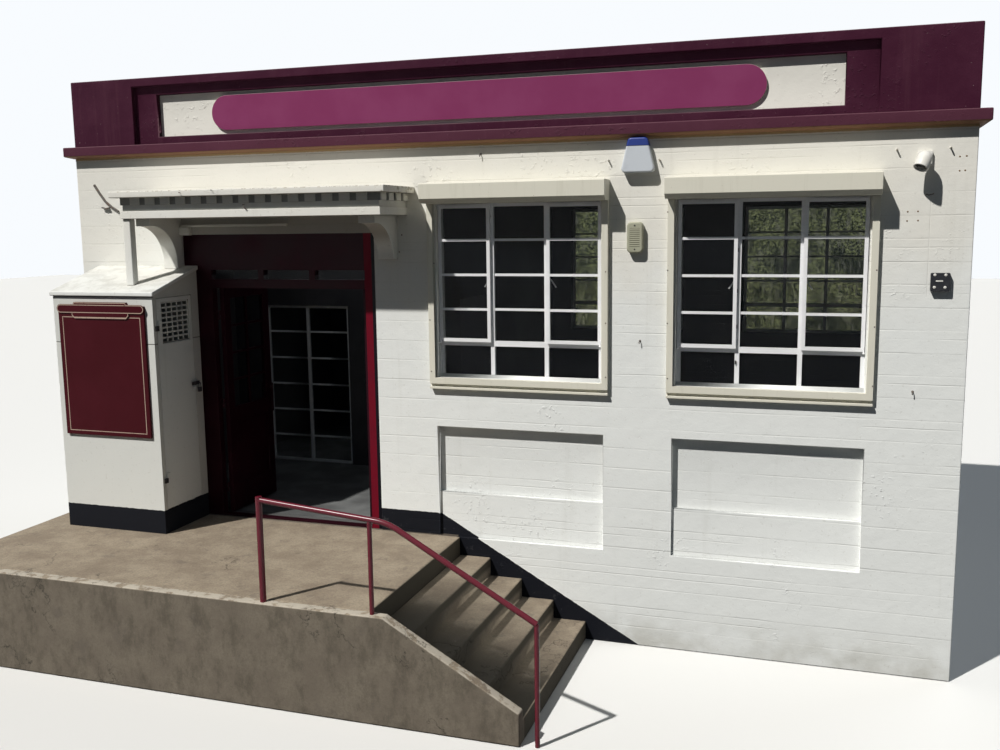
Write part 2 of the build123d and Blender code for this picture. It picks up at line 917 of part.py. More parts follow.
def notice_board():
    x0, x1 = booth_left + notice_left_in, booth_right - notice_right_in
    low = floor_level + notice_rise
    top = low + notice_height
    y = -booth_front
    body = block(x0, x1, y - notice_thickness, y, low, top)
    face = y - notice_thickness + lap
    middle = top - header_drop
    plane = Plane(origin=((x0 + x1) / 2, face, middle), x_dir=(1, 0, 0), z_dir=(0, -1, 0))
    body += extrude(plane * SlotOverall(x1 - x0 + 2 * header_out, header_height), header_stand + lap)
    left, right = x0 + tab_in, x1 - tab_in
    tab_low = middle - tab_height
    tab = [(left, middle), (left, tab_low), (left + tab_slope, tab_low - tab_slope),
           (right - tab_slope, tab_low - tab_slope), (right, tab_low), (right, middle)]
    body += front_profile(tab, face, header_stand + lap)
    tab = [(left, middle), (right, middle), (right - tab_slope, middle + tab_height),
           (left + tab_slope, middle + tab_height)]
    return body + front_profile(tab, face + notice_thickness - lap, notice_thickness + header_stand)


# Inside walls that show through the doorway and the windows

def partition_wall():
    x0, x1 = partition_left, partition_left + inner_wall
    body = block(x0, x1, wall, depth - wall, floor_level, wall_top)
    far = passage_near + passage_width
    return body - block(x0 - lap, x1 + lap, passage_near, far, floor_level, floor_level + passage_height)


def screen_sizes():
    """Right edge and top of the glazed screen."""
    return screen_left + screen_columns * screen_column, floor_level + screen_rows * screen_row


def lobby_wall():
    right, top = screen_sizes()
    y0, y1 = lobby_depth - lap, lobby_end + lap
    body = block(wall, partition_left, lobby_depth, lobby_end, floor_level, wall_top)
    body -= block(screen_left, right, y0, y1, floor_level, top)
    x0 = way_through_left
    return body - block(x0, x0 + way_through_width, y0, y1, floor_level, floor_level + passage_height)


def lobby_screen():
    """Frame and bars of the glazed screen, and its panes."""
    right, top = screen_sizes()
    y0 = lobby_depth + screen_set_in
    y1 = y0 + frame_deep
    middle = (y0 + y1) / 2
    body = block(screen_left, right, y0, y1, floor_level, top)
    body -= block(screen_left + frame_bar, right - frame_bar, y0 - lap, y1 + lap,
                  floor_level + frame_bar, top - frame_bar)
    half = mullion_bar / 2
    x_edges = [screen_left + frame_bar]
    for index in range(1, screen_columns):
        x = screen_left + index * screen_column
        body += block(x - half, x + half, y0, y1, floor_level + lap, top - lap)
        x_edges += [x - half, x + half]
    x_edges.append(right - frame_bar)
    levels = [floor_level + row * screen_row for row in range(1, screen_rows)]
    body = joined([body] + glazing_bars(screen_left + lap, right - lap, middle, levels))
    spans = pane_spans(floor_level + frame_bar, levels, top - frame_bar)
    columns = list(zip(x_edges[0::2], x_edges[1::2]))
    return body, [pane(x0, x1, middle, low, high) for x0, x1 in columns for low, high in spans]


# Landing, steps and rail

def landing():
    return block(landing_left, landing_edge, -landing_deep, 0, 0, floor_level)


def steps_end():
    return landing_edge + (step_count - 1) * going


def steps():
    """Flight down to the right, with a kerb along the outer side of the landing and the flight."""
    points = [(landing_edge, 0)]
    for index in range(1, step_count):
        z = floor_level - index * riser
        points.append((landing_edge + (index - 1) * going, z))
        points.append((landing_edge + index * going, z))
    points.append((steps_end(), 0))
    flight = front_profile(points, 0, landing_deep)
    turn = landing_edge + kerb_beyond
    slope_foot = floor_level - (steps_end() - turn) * riser / going
    kerb = [(landing_left, 0), (landing_left, floor_level), (turn, floor_level), (steps_end(), slope_foot),
            (steps_end(), 0)]
    return flight + front_profile(kerb, -landing_deep, kerb_width)


def handrail():
    """Tube that falls gently along the landing, bends to follow the steps, and stands on three posts."""
    y = -landing_deep - kerb_width / 2
    x1 = landing_edge + rail_slope_start
    x0 = x1 - rail_level_run
    x2 = steps_end() + rail_foot_beyond
    bend = floor_level + rail_height
    start = bend + rail_fall
    low = bend - (x2 - x1) * riser / going
    with BuildLine() as route:
        FilletPolyline((x0, y, start), (x1, y, bend), (x2, y, low), radius=rail_bend)
    rail = sweep(Plane(origin=(x0, y, start), z_dir=(x1 - x0, 0, bend - start)) * Circle(rail_radius),
                 path=route.line)
    first = upright(x0, y, floor_level, start + rail_radius + rail_post_over, rail_radius + rail_post_over)
    x = landing_edge + rail_post_at
    middle = upright(x, y, floor_level, bend + (x1 - x) * rail_fall / rail_level_run, rail_post_radius)
    last = upright(x2, y, 0, low, rail_post_radius)
    return joined([rail, first, middle, last])


# Fittings on the front

def alarm_box():
    x, z = pier_middle + alarm_shift, wall_top - alarm_drop
    low, high = z - alarm_height / 2, z + alarm_height / 2
    foot, head = alarm_foot / 2, alarm_head / 2
    points = [(x - foot, low), (x + foot, low), (x + head, high), (x - head, high)]
    body = front_profile(points, 0, alarm_thickness)
    return fillet(body.edges().filter_by(Axis.Y), alarm_corner)


def wall_box(x, z, width, height, thickness, corner):
    """A shallow box on the front, with rounded corners."""
    body = block(x - width / 2, x + width / 2, -thickness, 0, z - height / 2, z + height / 2)
    return fillet(body.edges().filter_by(Axis.Y), corner)


def sounder_box():
    return wall_box(pier_middle + sounder_shift, window_head - sounder_drop,
                    sounder_width, sounder_height, sounder_thickness, sounder_corner)


def switch_box():
    return wall_box(length - switch_in, window_head - switch_drop,
                    switch_size, switch_size, switch_thickness, switch_corner)


def camera():
    x, z = length - camera_in, wall_top - camera_drop
    half = camera_base / 2
    base = block(x - half, x + half, -camera_base_thickness, 0, z - half, z + half)
    half = camera_arm / 2
    arm = block(x - half, x + half, -camera_reach, -camera_base_thickness + lap, z - half, z + half)
    place = Location((x - half, -camera_reach - half, z - half)) * Rotation(camera_tilt, 0, camera_turn)
    return base + arm + place * Cylinder(camera_body, camera_length)


# Back

def gutter():
    """Half-round gutter with stopped ends, on brackets along the roof's back edge."""
    rim = roof_top - gutter_drop
    centre = depth + gutter_radius
    plane = Plane(origin=(0, centre, rim), x_dir=(0, 1, 0), z_dir=(1, 0, 0))
    body = extrude(plane * Circle(gutter_radius), length)
    inner_plane = Plane(origin=(gutter_skin, centre, rim), x_dir=(0, 1, 0), z_dir=(1, 0, 0))
    body -= extrude(inner_plane * Circle(gutter_radius - gutter_skin), length - 2 * gutter_skin)
    far = centre + gutter_radius + lap
    body -= block(-lap, length + lap, depth - lap, far, rim, rim + gutter_radius + lap)
    step = (length - gutter_bracket) / (gutter_bracket_count - 1)
    for index in range(gutter_bracket_count):
        x0 = index * step
        body += block(x0, x0 + gutter_bracket, depth, depth + gutter_skin, rim - gutter_bracket, rim)
    return body


def downpipes():
    y = depth + gutter_radius
    top = roof_top - gutter_drop - gutter_radius
    half = pipe_radius + pipe_bracket_over
    pipes = []
    for x in (pipe_in, length - pipe_in):
        pipe = upright(x, y, pipe_foot, top, pipe_radius)
        for z in pipe_bracket_levels:
            front = y - pipe_radius + pipe_bracket_lap
            pipe += block(x - half, x + half, depth, front, z, z + pipe_bracket)
        pipes.append(pipe)
    return pipes


save("floor_slab", floor_slab())
save("front_wall", front_wall())
save("back_wall", back_wall())
save("left_wall", side_wall(0))
save("right_wall", side_wall(length - wall))
save("roof_slab", roof_slab())
save("roof_felt", roof_felt())
save("cornice", cornice())
save("parapet", parapet())
save("sign_board", sign_board())

save("front_windows", Compound([front_window(centre) for centre in window_centres]))
glass = []
number = 0
for centre in window_centres:
    glass += fixed_panes(centre, frame_set_back, 1)
    for side in (-1, 1):
        number += 1
        save("casement_" + str(number), casement(centre, side))
        save("casement_glass_" + str(number), Compound(casement_panes(centre, side)))
save("front_glass", Compound(glass))

save("shutter_boxes", Compound([shutter_box(centre) for centre in window_centres]))
save("shutter_guides", Compound([shutter_guides(centre) for centre in window_centres]))

entrance_left = door_left + entrance_left_jamb
entrance_right = door_right - jamb_face
save("entrance_frame", doorway_frame(entrance_left, entrance_right, entrance_left_jamb))
save("entrance_fanlight", Compound(fanlight_panes(entrance_left, entrance_right)))
platform_left = length - platform_door_right + jamb_face
platform_right = length - platform_door_left - jamb_face
save("platform_frame", turned_round * doorway_frame(platform_left, platform_right, jamb_face))
for name, side in (("left", -1), ("right", 1)):
    body, panes = door_leaf(entrance_left, entrance_right, side, True)
    save("entrance_leaf_" + name, body)
    save("entrance_glass_" + name, Compound(panes))
    body, panes = door_leaf(platform_left, platform_right, side, False)
    save("platform_leaf_" + name, turned_round * body)
    save("platform_glass_" + name, turned_round * Compound(panes))

save("canopy_slab", canopy_slab())
save("canopy_frieze", canopy_frieze())
save("corbels", Compound(corbels()))
save("canopy_post", canopy_post())
save("booth_walls", booth_walls())
save("booth_coping", booth_coping())
save("booth_hinges", Compound(booth_hinges()))
save("booth_door", booth_door())
save("booth_grille", booth_grille())
save("notice_board", notice_board())

save("partition_wall", partition_wall())
save("lobby_wall", lobby_wall())
grid, screen_panes = lobby_screen()
save("lobby_screen", grid)
save("lobby_glass", Compound(screen_panes))

back_frames = []
back_panes = [turned_round * each for each in fanlight_panes(platform_left, platform_right)]
back_front = depth - frame_set_back
for centre in back_window_centres:
    frame = fixed_window(centre, back_front, -1)
    back_panes += fixed_panes(centre, back_front, -1)
    for side in (-1, 1):
        bars, panes = shut_column(centre, back_front, -1, side)
        frame = joined([frame] + bars)
        back_panes += panes
    back_frames.append(frame)
save("back_windows", Compound(back_frames))
save("back_glass", Compound(back_panes))

save("landing", landing())
save("steps", steps())
save("handrail", handrail())
save("alarm_box", alarm_box())
save("sounder_box", sounder_box())
save("camera", camera())
save("switch_box", switch_box())
save("gutter", gutter())
save("downpipes", Compound(downpipes()))
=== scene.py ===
import json
import math

import bmesh
import bpy
from mathutils import Matrix, Vector

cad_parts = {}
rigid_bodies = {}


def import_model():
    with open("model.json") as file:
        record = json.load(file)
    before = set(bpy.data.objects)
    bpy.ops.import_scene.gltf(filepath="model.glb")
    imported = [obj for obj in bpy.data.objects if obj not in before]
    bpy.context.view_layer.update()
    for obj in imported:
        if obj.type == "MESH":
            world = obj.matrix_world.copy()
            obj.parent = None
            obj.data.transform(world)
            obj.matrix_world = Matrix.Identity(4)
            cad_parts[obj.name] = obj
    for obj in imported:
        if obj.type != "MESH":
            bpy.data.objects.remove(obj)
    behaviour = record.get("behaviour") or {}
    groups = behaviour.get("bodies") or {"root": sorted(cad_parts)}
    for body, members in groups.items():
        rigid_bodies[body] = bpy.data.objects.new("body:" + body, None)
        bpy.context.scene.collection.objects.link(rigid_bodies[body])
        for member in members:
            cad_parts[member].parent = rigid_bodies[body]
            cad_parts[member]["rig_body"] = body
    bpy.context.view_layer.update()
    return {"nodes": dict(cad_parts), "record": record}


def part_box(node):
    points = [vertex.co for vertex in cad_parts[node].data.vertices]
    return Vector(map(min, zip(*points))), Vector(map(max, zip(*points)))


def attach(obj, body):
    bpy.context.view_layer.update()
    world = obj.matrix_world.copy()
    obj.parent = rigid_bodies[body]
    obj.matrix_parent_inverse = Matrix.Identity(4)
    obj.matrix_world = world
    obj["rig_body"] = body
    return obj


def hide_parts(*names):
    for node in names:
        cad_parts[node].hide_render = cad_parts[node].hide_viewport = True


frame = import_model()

# The building's own measures, in metres: x from the front's left corner, y inwards from the front
# face and z from the foot of the walls
WALL_LOW, WALL_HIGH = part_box("front_wall")
LEFT, FRONT = WALL_LOW.x, WALL_LOW.y
LENGTH = WALL_HIGH.x - LEFT
WALL_TOP = WALL_HIGH.z
ROOF_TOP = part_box("roof_slab")[1].z
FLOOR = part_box("floor_slab")[1].z


def at(x, y, z):
    """A point of the building in the frame's own coordinates."""
    return Vector((LEFT + x, FRONT + y, z))


def local_box(node):
    """A node's lowest and highest corners in the building's own measures."""
    corner = Vector((LEFT, FRONT, 0))
    low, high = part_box(node)
    return low - corner, high - corner


FRIEZE_LOW, FRIEZE_HIGH = local_box("canopy_frieze")
CANOPY_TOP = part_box("canopy_slab")[1].z
CANOPY_RIGHT = local_box("canopy_slab")[1].x
COPING_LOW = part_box("booth_coping")[0].z
SIGN_LOW, SIGN_HIGH = local_box("sign_board")

# The white panel in the parapet, a little larger than the sign on it
PANEL_SIDE = 0.59
PANEL_OVER = 0.0355
PANEL_DEPTH = 0.05
PANEL_LOW = Vector((SIGN_LOW.x - PANEL_SIDE, SIGN_HIGH.y, SIGN_LOW.z - PANEL_OVER))
PANEL_HIGH = Vector((SIGN_HIGH.x + PANEL_SIDE, SIGN_HIGH.y + PANEL_DEPTH,
                     SIGN_HIGH.z + PANEL_OVER))

# Marks of the boards that the walls were cast in: height of a lift, its start, an upright seam
LIFT = 0.178
LIFT_SHIFT = 0.008
SIDE_SEAM = 7.92
SIDE_SEAM_LOW, SIDE_SEAM_HIGH = 3.1, 3.86

# The tarred skirt on the front, level over the landing and falling with the steps
SKIRT_TOP = 1.062
SKIRT_LEFT, SKIRT_RIGHT = 3.2, 5.7
SKIRT_TURN = 3.82
SKIRT_FALL = 0.563

# Limits between the front's skin, the door's sill, the inside and the back
FRONT_SKIN = 0.15
SILL_RIGHT, SILL_DEPTH = 4.0, 0.3
ENTRANCE_DEPTH = 0.5
INSIDE_FRONT, INSIDE_SIDE = 0.10, 0.05
BACK_FACE = 5.05

# The strip of wall that the canopy shelters, over the entrance, darkened with painted shade
SHELTER_LOW = 3.640
SHELTER_LEFT, SHELTER_RIGHT = 1.19, 3.25

# Dentils on the frieze, the booth's front face, seam and skirt, the lit strip of the door's jamb
DENTIL_HEIGHT = 0.066
DENTIL_SKIN = 0.012
BOOTH_FRONT = -0.69
BOOTH_SEAM = 2.650
BOOTH_SKIRT = 0.226
JAMB_LIT = (3.125, 3.200)

# Front of the steps' risers and back of the landing's kerb
RISERS_FROM = -1.90
KERB_FROM = -1.925

# The lines painted on the notice board
NOTICE_LEFT, NOTICE_RIGHT = 0.292, 1.250
NOTICE_FOOT, NOTICE_HEIGHT = 0.92, 1.23
LINE_NEAR, LINE_FAR = 0.003, 0.010

# Colours of paint, dirt and stain, and of painted shade
CREAM = (0.83, 0.815, 0.755)
COOL_WHITE = (0.85, 0.87, 0.855)
STAIN = (0.36, 0.34, 0.27)
TAR = (0.010, 0.011, 0.015)
WORN_TAR = (0.050, 0.050, 0.055)
OCHRE = (0.50, 0.31, 0.12)
BARE_RENDER = (0.22, 0.19, 0.14)
CANOPY_PAINTED_SHADE = (0.20, 0.17, 0.13)
LEDGE_PLUM = (0.090, 0.030, 0.048)
SILL_GRIME = (0.13, 0.11, 0.09)
INDOOR_PAINTED_SHADE = (0.10, 0.10, 0.10)

# Specular level of old paint
CHALKY = 0.08


# Shader expressions

class Signal:
    """A value, colour or vector inside a finish. Operators on it add the nodes that work it out."""

    def __init__(self, finish, socket):
        self.finish = finish
        self.socket = socket

    def math(self, operation, *others):
        inputs = {index: value for index, value in enumerate((self,) + others)}
        return self.finish.node("ShaderNodeMath", inputs, operation=operation)

    def __add__(self, other):
        return self.math("ADD", other)

    __radd__ = __add__

    def __sub__(self, other):
        return self.math("SUBTRACT", other)

    def __rsub__(self, other):
        return self.finish.node("ShaderNodeMath", {0: other, 1: self}, operation="SUBTRACT")

    def __mul__(self, other):
        return self.math("MULTIPLY", other)

    __rmul__ = __mul__

    def __truediv__(self, other):
        return self.math("DIVIDE", other)

    def __lt__(self, other):
        return self.math("LESS_THAN", other)

    def __gt__(self, other):
        return self.math("GREATER_THAN", other)

    def within(self, low, high):
        """1 between two levels, and 0 elsewhere."""
        return (self > low) * (self < high)

    def lower_of(self, other):
        return self.math("MINIMUM", other)

    def higher_of(self, other):
        return self.math("MAXIMUM", other)

    def away_from(self, level):
        return (self - level).math("ABSOLUTE")

    def to_nearest(self, pitch):
        """Distance to the nearest multiple of a pitch."""
        return self.math("PINGPONG", pitch / 2)

    def ramp(self, low, high, start=0.0, end=1.0):
        """A smooth step from start, at or below low, to end, at or above high."""
        flip = low > high
        ends = (high, low, end, start) if flip else (low, high, start, end)
        names = ("From Min", "From Max", "To Min", "To Max")
        sockets = dict(zip(names, ends), Value=self)
        return self.finish.node("ShaderNodeMapRange", sockets, interpolation_type="SMOOTHSTEP")


# The mix node's sockets for colours
MIX_FACTOR, MIX_FIRST, MIX_SECOND = 0, 6, 7
MIX_RESULT = 2


class Finish:
    """A material, built from one method that adds any node."""

    def __init__(self, name):
        self.material = bpy.data.materials.new(name)
        self.material.use_nodes = True
        self.tree = self.material.node_tree
        self.tree.nodes.clear()
        self.place = self.node("ShaderNodeTexCoord", output="Object")
        across, inwards, self.z = (self.node("ShaderNodeSeparateXYZ", {0: self.place}, output=axis)
                                   for axis in "XYZ")
        self.x, self.y = across - LEFT, inwards - FRONT

    def node(self, kind, sockets=None, output=0, **settings):
        made = self.tree.nodes.new(kind)
        for name, value in settings.items():
            setattr(made, name, value)
        for name, value in (sockets or {}).items():
            self.feed(made.inputs[name], value)
        return Signal(self, made.outputs[output])

    def feed(self, socket, value):
        if isinstance(value, Signal):
            self.tree.links.new(value.socket, socket)
        elif hasattr(value, "__len__") and len(value) == 3 and socket.type == "RGBA":
            socket.default_value = (*value, 1)
        else:
            socket.default_value = value

    def noise(self, scale, detail=4, roughness=0.55, stretch=None, shift=0.0):
        """Cloudy value from 0 to 1, mostly near the middle."""
        place = self.place
        if stretch or shift:
            place = self.node("ShaderNodeMapping", {"Vector": place, "Scale": stretch or (1, 1, 1),
                                                    "Location": (shift, shift, shift)})
        return self.node("ShaderNodeTexNoise", {"Vector": place, "Scale": scale, "Detail": detail,
                                                "Roughness": roughness})

    def grain(self, scale, depth, detail=2):
        """Fine even relief of a depth, in metres."""
        return (self.noise(scale, detail) - 0.5) * depth

    def cells(self, scale):
        """Distance to the middle of the nearest cell."""
        sockets = {"Vector": self.place, "Scale": scale}
        return self.node("ShaderNodeTexVoronoi", sockets, output="Distance", feature="F1")

    def facing(self, axis):
        """One part of the surface's own direction, from -1 to 1."""
        flat = self.node("ShaderNodeNewGeometry", output="Normal")
        return self.node("ShaderNodeSeparateXYZ", {0: flat}, output=axis)

    def mix(self, factor, first, second):
        """Colour mix; factor 0 gives the first."""
        sockets = {MIX_FACTOR: factor, MIX_FIRST: first, MIX_SECOND: second}
        return self.node("ShaderNodeMix", sockets, MIX_RESULT, data_type="RGBA")

    def hollows(self, distance):
        """Openness of a point: 1 in the clear and near 0 in a corner."""
        sockets = {"Distance": distance}
        return self.node("ShaderNodeAmbientOcclusion", sockets, output="AO", samples=2)

    def relief(self, height):
        """Normal of a surface whose height varies, in metres."""
        return self.node("ShaderNodeBump", {"Height": height, "Distance": 1.0, "Strength": 1.0})

    def shader(self, colour, roughness, normal=None, **fixed):
        """One layer of surface. Fixed sockets are given by name with _ for a space."""
        sockets = {"Base Color": colour, "Roughness": roughness}
        if normal is not None:
            sockets["Normal"] = normal
        for name, value in fixed.items():
            sockets[name.replace("_", " ")] = value
        return self.node("ShaderNodeBsdfPrincipled", sockets)

    def surface(self, colour, roughness, normal=None, **fixed):
        return self.closed(self.shader(colour, roughness, normal, **fixed))

    def closed(self, shader):
        """Sends a shader out as the finished surface."""
        made = self.tree.nodes.new("ShaderNodeOutputMaterial")
        self.tree.links.new(shader.socket, made.inputs["Surface"])
        return self.material

    def box_edge(self, x0, x1, z0, z1, width):
        """1 along the inner edge of an upright rectangle on the front, and 0 elsewhere."""
        outside = self.x.away_from((x0 + x1) / 2) - (x1 - x0) / 2
        over = self.z.away_from((z0 + z1) / 2) - (z1 - z0) / 2
        return outside.higher_of(over).within(-width, 0)


# Finishes

def rough_render(f, coarse=0.0016, fine=0.0004):
    """Height of hand-laid render or bare board-marked concrete under paint."""
    lumps = f.noise(5.5, 3) - 0.5
    grit = f.noise(90, 3, 0.6) - 0.5
    pits = f.cells(24).ramp(0.10, 0.02) * f.noise(3.1, 1, shift=7.0).ramp(0.52, 0.62)
    return lumps * coarse * 3 + grit * fine * 2 - pits * 0.0022


def crust(f, low=0.56, high=0.68):
    """Blisters and lumps of old paint, in patches."""
    patch = f.noise(1.5, 2, shift=14.0).ramp(low, high)
    return f.noise(27, 4, 0.62).ramp(0.55, 0.70) * patch


def white_paint(f, grime=1.0):
    """Cream-white masonry paint, warmer near the top, with rain streaks, and darker in corners."""
    patches = f.noise(1.1, 3, shift=3.0) * 0.9 + f.z * 0.42
    colour = f.mix(patches.ramp(1.55, 2.15), COOL_WHITE, CREAM)
    streaks = f.noise(7.0, 4, 0.6, stretch=(1, 1, 0.045)).ramp(0.58, 0.74)
    # Darker in the corners that the occlusion node finds
    corners = f.hollows(0.16).ramp(0.72, 0.30)
    specks = f.noise(34, 2, 0.7).ramp(0.64, 0.72)
    dirt = (streaks * 0.09 + corners * 0.16 + specks * 0.16) * grime
    return f.mix(dirt.lower_of(0.8), colour, STAIN)


def wall_finish():
    """White paint over board marks, with a tarred skirt outside and dull plaster inside; painted
    shade darkens the wall under the canopy and the walls' inside faces.
    """
    f = Finish("painted_board_marked_wall")
    front = f.y < FRONT_SKIN
    wobble = f.grain(1.6, 0.016)
    level = f.z + wobble + LIFT_SHIFT
    seam_strength = f.noise(1.3, 4, 0.65, shift=11.0).ramp(0.40, 0.62, 0.12, 1.0)
    seam = level.to_nearest(LIFT).ramp(0.008, 0.002) * seam_strength
    second = (level + LIFT * 0.38).to_nearest(LIFT * 2).ramp(0.006, 0.002)
    second *= f.noise(0.8, 2, shift=21.0).ramp(0.50, 0.62)
    upright = (f.x + wobble * 0.6).away_from(SIDE_SEAM).ramp(0.006, 0.0015)
    upright *= f.z.within(SIDE_SEAM_LOW, SIDE_SEAM_HIGH)
    groove = seam.higher_of(second).higher_of(upright * 0.8)
    step = (level / LIFT).math("FLOOR")
    shift = f.node("ShaderNodeTexWhiteNoise", {"W": step}, noise_dimensions="1D")
    lumps = crust(f)
    height = rough_render(f) - groove * 0.0012 + shift * 0.0010 + lumps * 0.0030
    base_dirt = f.z.ramp(0.45, 0.0) * f.noise(3.0, 4, shift=5.0).ramp(0.35, 0.7)
    colour = f.mix(base_dirt * 0.45, white_paint(f), STAIN)
    colour = f.mix(groove * 0.10, colour, STAIN)
    chips = lumps.ramp(0.80, 0.98) * f.noise(55, 2, shift=3.0).ramp(0.58, 0.66)
    colour = f.mix(chips * 0.45, colour, BARE_RENDER)
    # Painted shade: the wall under the canopy is darkened where the canopy's shadow falls
    canopy_shade = f.z.within(SHELTER_LOW, FRIEZE_HIGH.z) * f.x.within(SHELTER_LEFT, SHELTER_RIGHT)
    colour = f.mix(canopy_shade * front * 0.5, colour, CANOPY_PAINTED_SHADE)
    edge = f.grain(30, 0.012)
    under_ledge = (f.z + edge * 0.6).ramp(WALL_TOP + 0.008, WALL_TOP + 0.016)
    colour = f.mix(under_ledge * 0.85, colour, OCHRE)
    ledge_top = (f.z > ROOF_TOP - 0.012) * (f.facing("Z") > 0.3)
    colour = f.mix(ledge_top, colour, LEDGE_PLUM)
    skirt_top = (SKIRT_TOP - (f.x - SKIRT_TURN) * SKIRT_FALL).lower_of(SKIRT_TOP)
    skirt = (f.z + edge < skirt_top) * front * f.x.within(SKIRT_LEFT, SKIRT_RIGHT)
    worn = f.noise(14, 5, 0.7, shift=2.0).ramp(0.60, 0.68) * 0.6
    colour = f.mix(skirt, colour, f.mix(worn, TAR, WORN_TAR))
    door_sill = (f.z < FLOOR + 0.004) * (f.x < SILL_RIGHT) * (f.y < SILL_DEPTH)
    colour = f.mix(door_sill, colour, SILL_GRIME)
    # Painted shade: the walls' inside faces are painted near-black grey
    indoors = f.y.within(INSIDE_FRONT, BACK_FACE - INSIDE_FRONT)
    indoors *= f.x.within(INSIDE_SIDE, LENGTH - INSIDE_SIDE)
    colour = f.mix(indoors, colour, INDOOR_PAINTED_SHADE)
    return f.surface(colour, skirt.ramp(0, 1, 0.62, 0.45), f.relief(height),
                     Specular_IOR_Level=CHALKY)


def render_finish():
    """White paint on the canopy and the copings, peeling, and sooty in patches where it faces the
    sky; painted shade darkens every upward face, the downward faces and the gaps between the
    dentils.
    """
    f = Finish("painted_render")
    up = f.facing("Z").ramp(0.5, 0.9)
    soot = up * f.noise(6, 5, 0.65, shift=9.0).ramp(0.40, 0.66)
    # Upward faces: a little darker all over, painted shade against the key light, and darker again
    # in patches of soot
    colour = f.mix(up * 0.22 + soot * 0.26, white_paint(f, 1.2), (0.30, 0.29, 0.25))
    rim = f.z.ramp(CANOPY_TOP - 0.016, CANOPY_TOP - 0.004) * f.noise(22, 4, 0.7).ramp(0.50, 0.60)
    broken = f.x.ramp(CANOPY_RIGHT - 0.10, CANOPY_RIGHT - 0.02)
    broken *= f.noise(18, 4, 0.7, shift=6.0).ramp(0.52, 0.62)
    flaked = (rim * (1 - up)).higher_of(broken * (f.z > CANOPY_TOP - 0.07))
    # Painted shade: the recesses between the dentils are darkened
    dentil_gap_shade = f.z.within(FRIEZE_HIGH.z - DENTIL_HEIGHT, FRIEZE_HIGH.z)
    dentil_gap_shade *= (f.y > FRIEZE_LOW.y + DENTIL_SKIN) * (f.x < FRIEZE_HIGH.x - DENTIL_SKIN)
    colour = f.mix(dentil_gap_shade * 0.65, colour, (0.11, 0.12, 0.13))
    # Painted shade: faces turned downwards are darkened
    soffit_shade = f.facing("Z").ramp(-0.4, -0.8)
    colour = f.mix(soffit_shade * 0.6, colour, (0.20, 0.16, 0.12))
    colour = f.mix(flaked * 0.65, colour, (0.30, 0.25, 0.17))
    height = rough_render(f, 0.0012, 0.0005) + crust(f, 0.46, 0.6) * 0.0020 - flaked * 0.002
    return f.surface(colour, 0.6, f.relief(height), Specular_IOR_Level=CHALKY)


def booth_finish():
    """Duller white on the booth, seamed where its sheets meet, with a tarred skirt and a painted
    shadow under its coping.
    """
    f = Finish("booth_paint")
    edge = f.grain(26, 0.012)
    skirt = f.z + edge < FLOOR + BOOTH_SKIRT
    seam = (f.z + f.grain(4, 0.008)).away_from(BOOTH_SEAM).ramp(0.006, 0.002)
    # Painted shadow: a dark band across the booth's front just under the coping
    shade = (f.z + edge * 0.5).ramp(COPING_LOW - 0.012, COPING_LOW - 0.004) * (f.y < BOOTH_FRONT)
    colour = f.mix(0.34, white_paint(f, 1.1), (0.44, 0.43, 0.37))
    colour = f.mix(seam * 0.8, colour, (0.10, 0.09, 0.08))
    colour = f.mix(shade * 0.85, colour, (0.05, 0.05, 0.06))
    chips = f.noise(40, 3, 0.7, shift=5.0).ramp(0.70, 0.74)
    colour = f.mix(chips * 0.6, colour, (0.16, 0.14, 0.11))
    colour = f.mix(skirt, colour, TAR)
    height = rough_render(f, 0.0009, 0.0003) - seam * 0.003 - chips * 0.001
    return f.surface(colour, 0.58, f.relief(height), Specular_IOR_Level=CHALKY)


def maroon_render_finish():
    """Plum masonry paint, chalked by the weather, with the panel in the parapet left white."""
    f = Finish("plum_masonry_paint")
    chalky = f.noise(2.3, 5, 0.65).ramp(0.42, 0.70)
    streaks = f.noise(9.0, 4, 0.6, stretch=(1, 1, 0.05), shift=4.0).ramp(0.55, 0.75)
    plum = f.mix(chalky * 0.5, (0.042, 0.006, 0.020), (0.072, 0.018, 0.038))
    plum = f.mix(streaks * 0.18, plum, (0.12, 0.045, 0.065))
    # Upward faces paler in patches: partly sun-bleached paint, partly a painted highlight where
    # tops and worn edges catch the light
    up = f.facing("Z").ramp(0.25, 0.75)
    bleach_and_highlight = f.noise(4, 6, 0.7, shift=1.0).ramp(0.30, 0.70, 0.2, 0.6)
    plum = f.mix(up * bleach_and_highlight, plum, (0.20, 0.12, 0.13))
    chips = f.noise(46, 3, 0.7, shift=2.0).ramp(0.715, 0.745)
    plum = f.mix(chips * 0.8, plum, (0.42, 0.33, 0.33))
    brim = f.facing("Z").ramp(-0.2, -0.6) * (f.z < ROOF_TOP - 0.05)
    plum = f.mix(brim * 0.6, plum, OCHRE)
    ledge = f.z < ROOF_TOP + 0.001
    plum = f.mix(ledge * 0.35, plum, (0.15, 0.055, 0.080))
    panel = f.x.within(PANEL_LOW.x, PANEL_HIGH.x) * f.z.within(PANEL_LOW.z, PANEL_HIGH.z)
    panel *= f.y.within(PANEL_LOW.y - 0.002, PANEL_HIGH.y)
    height = rough_render(f, 0.0014, 0.0004) + crust(f, 0.44, 0.6) * 0.0030
    return f.surface(f.mix(panel, plum, white_paint(f)), 0.56, f.relief(height),
                     Specular_IOR_Level=0.10)


def sign_finish():
    """Satin magenta-maroon on the sign, with its rounded rim bare and pale."""
    f = Finish("sign_board_paint")
    cloud = f.noise(2.0, 4, 0.6).ramp(0.40, 0.68)
    colour = f.mix(cloud * 0.5, (0.220, 0.033, 0.110), (0.255, 0.050, 0.140))
    rim = f.facing("Y").ramp(-0.90, -0.75)
    colour = f.mix(rim, colour, (0.66, 0.58, 0.52))
    return f.surface(colour, cloud * 0.12 + 0.36, f.relief(f.grain(40, 0.00015, 3)),
                     Specular_IOR_Level=0.18)


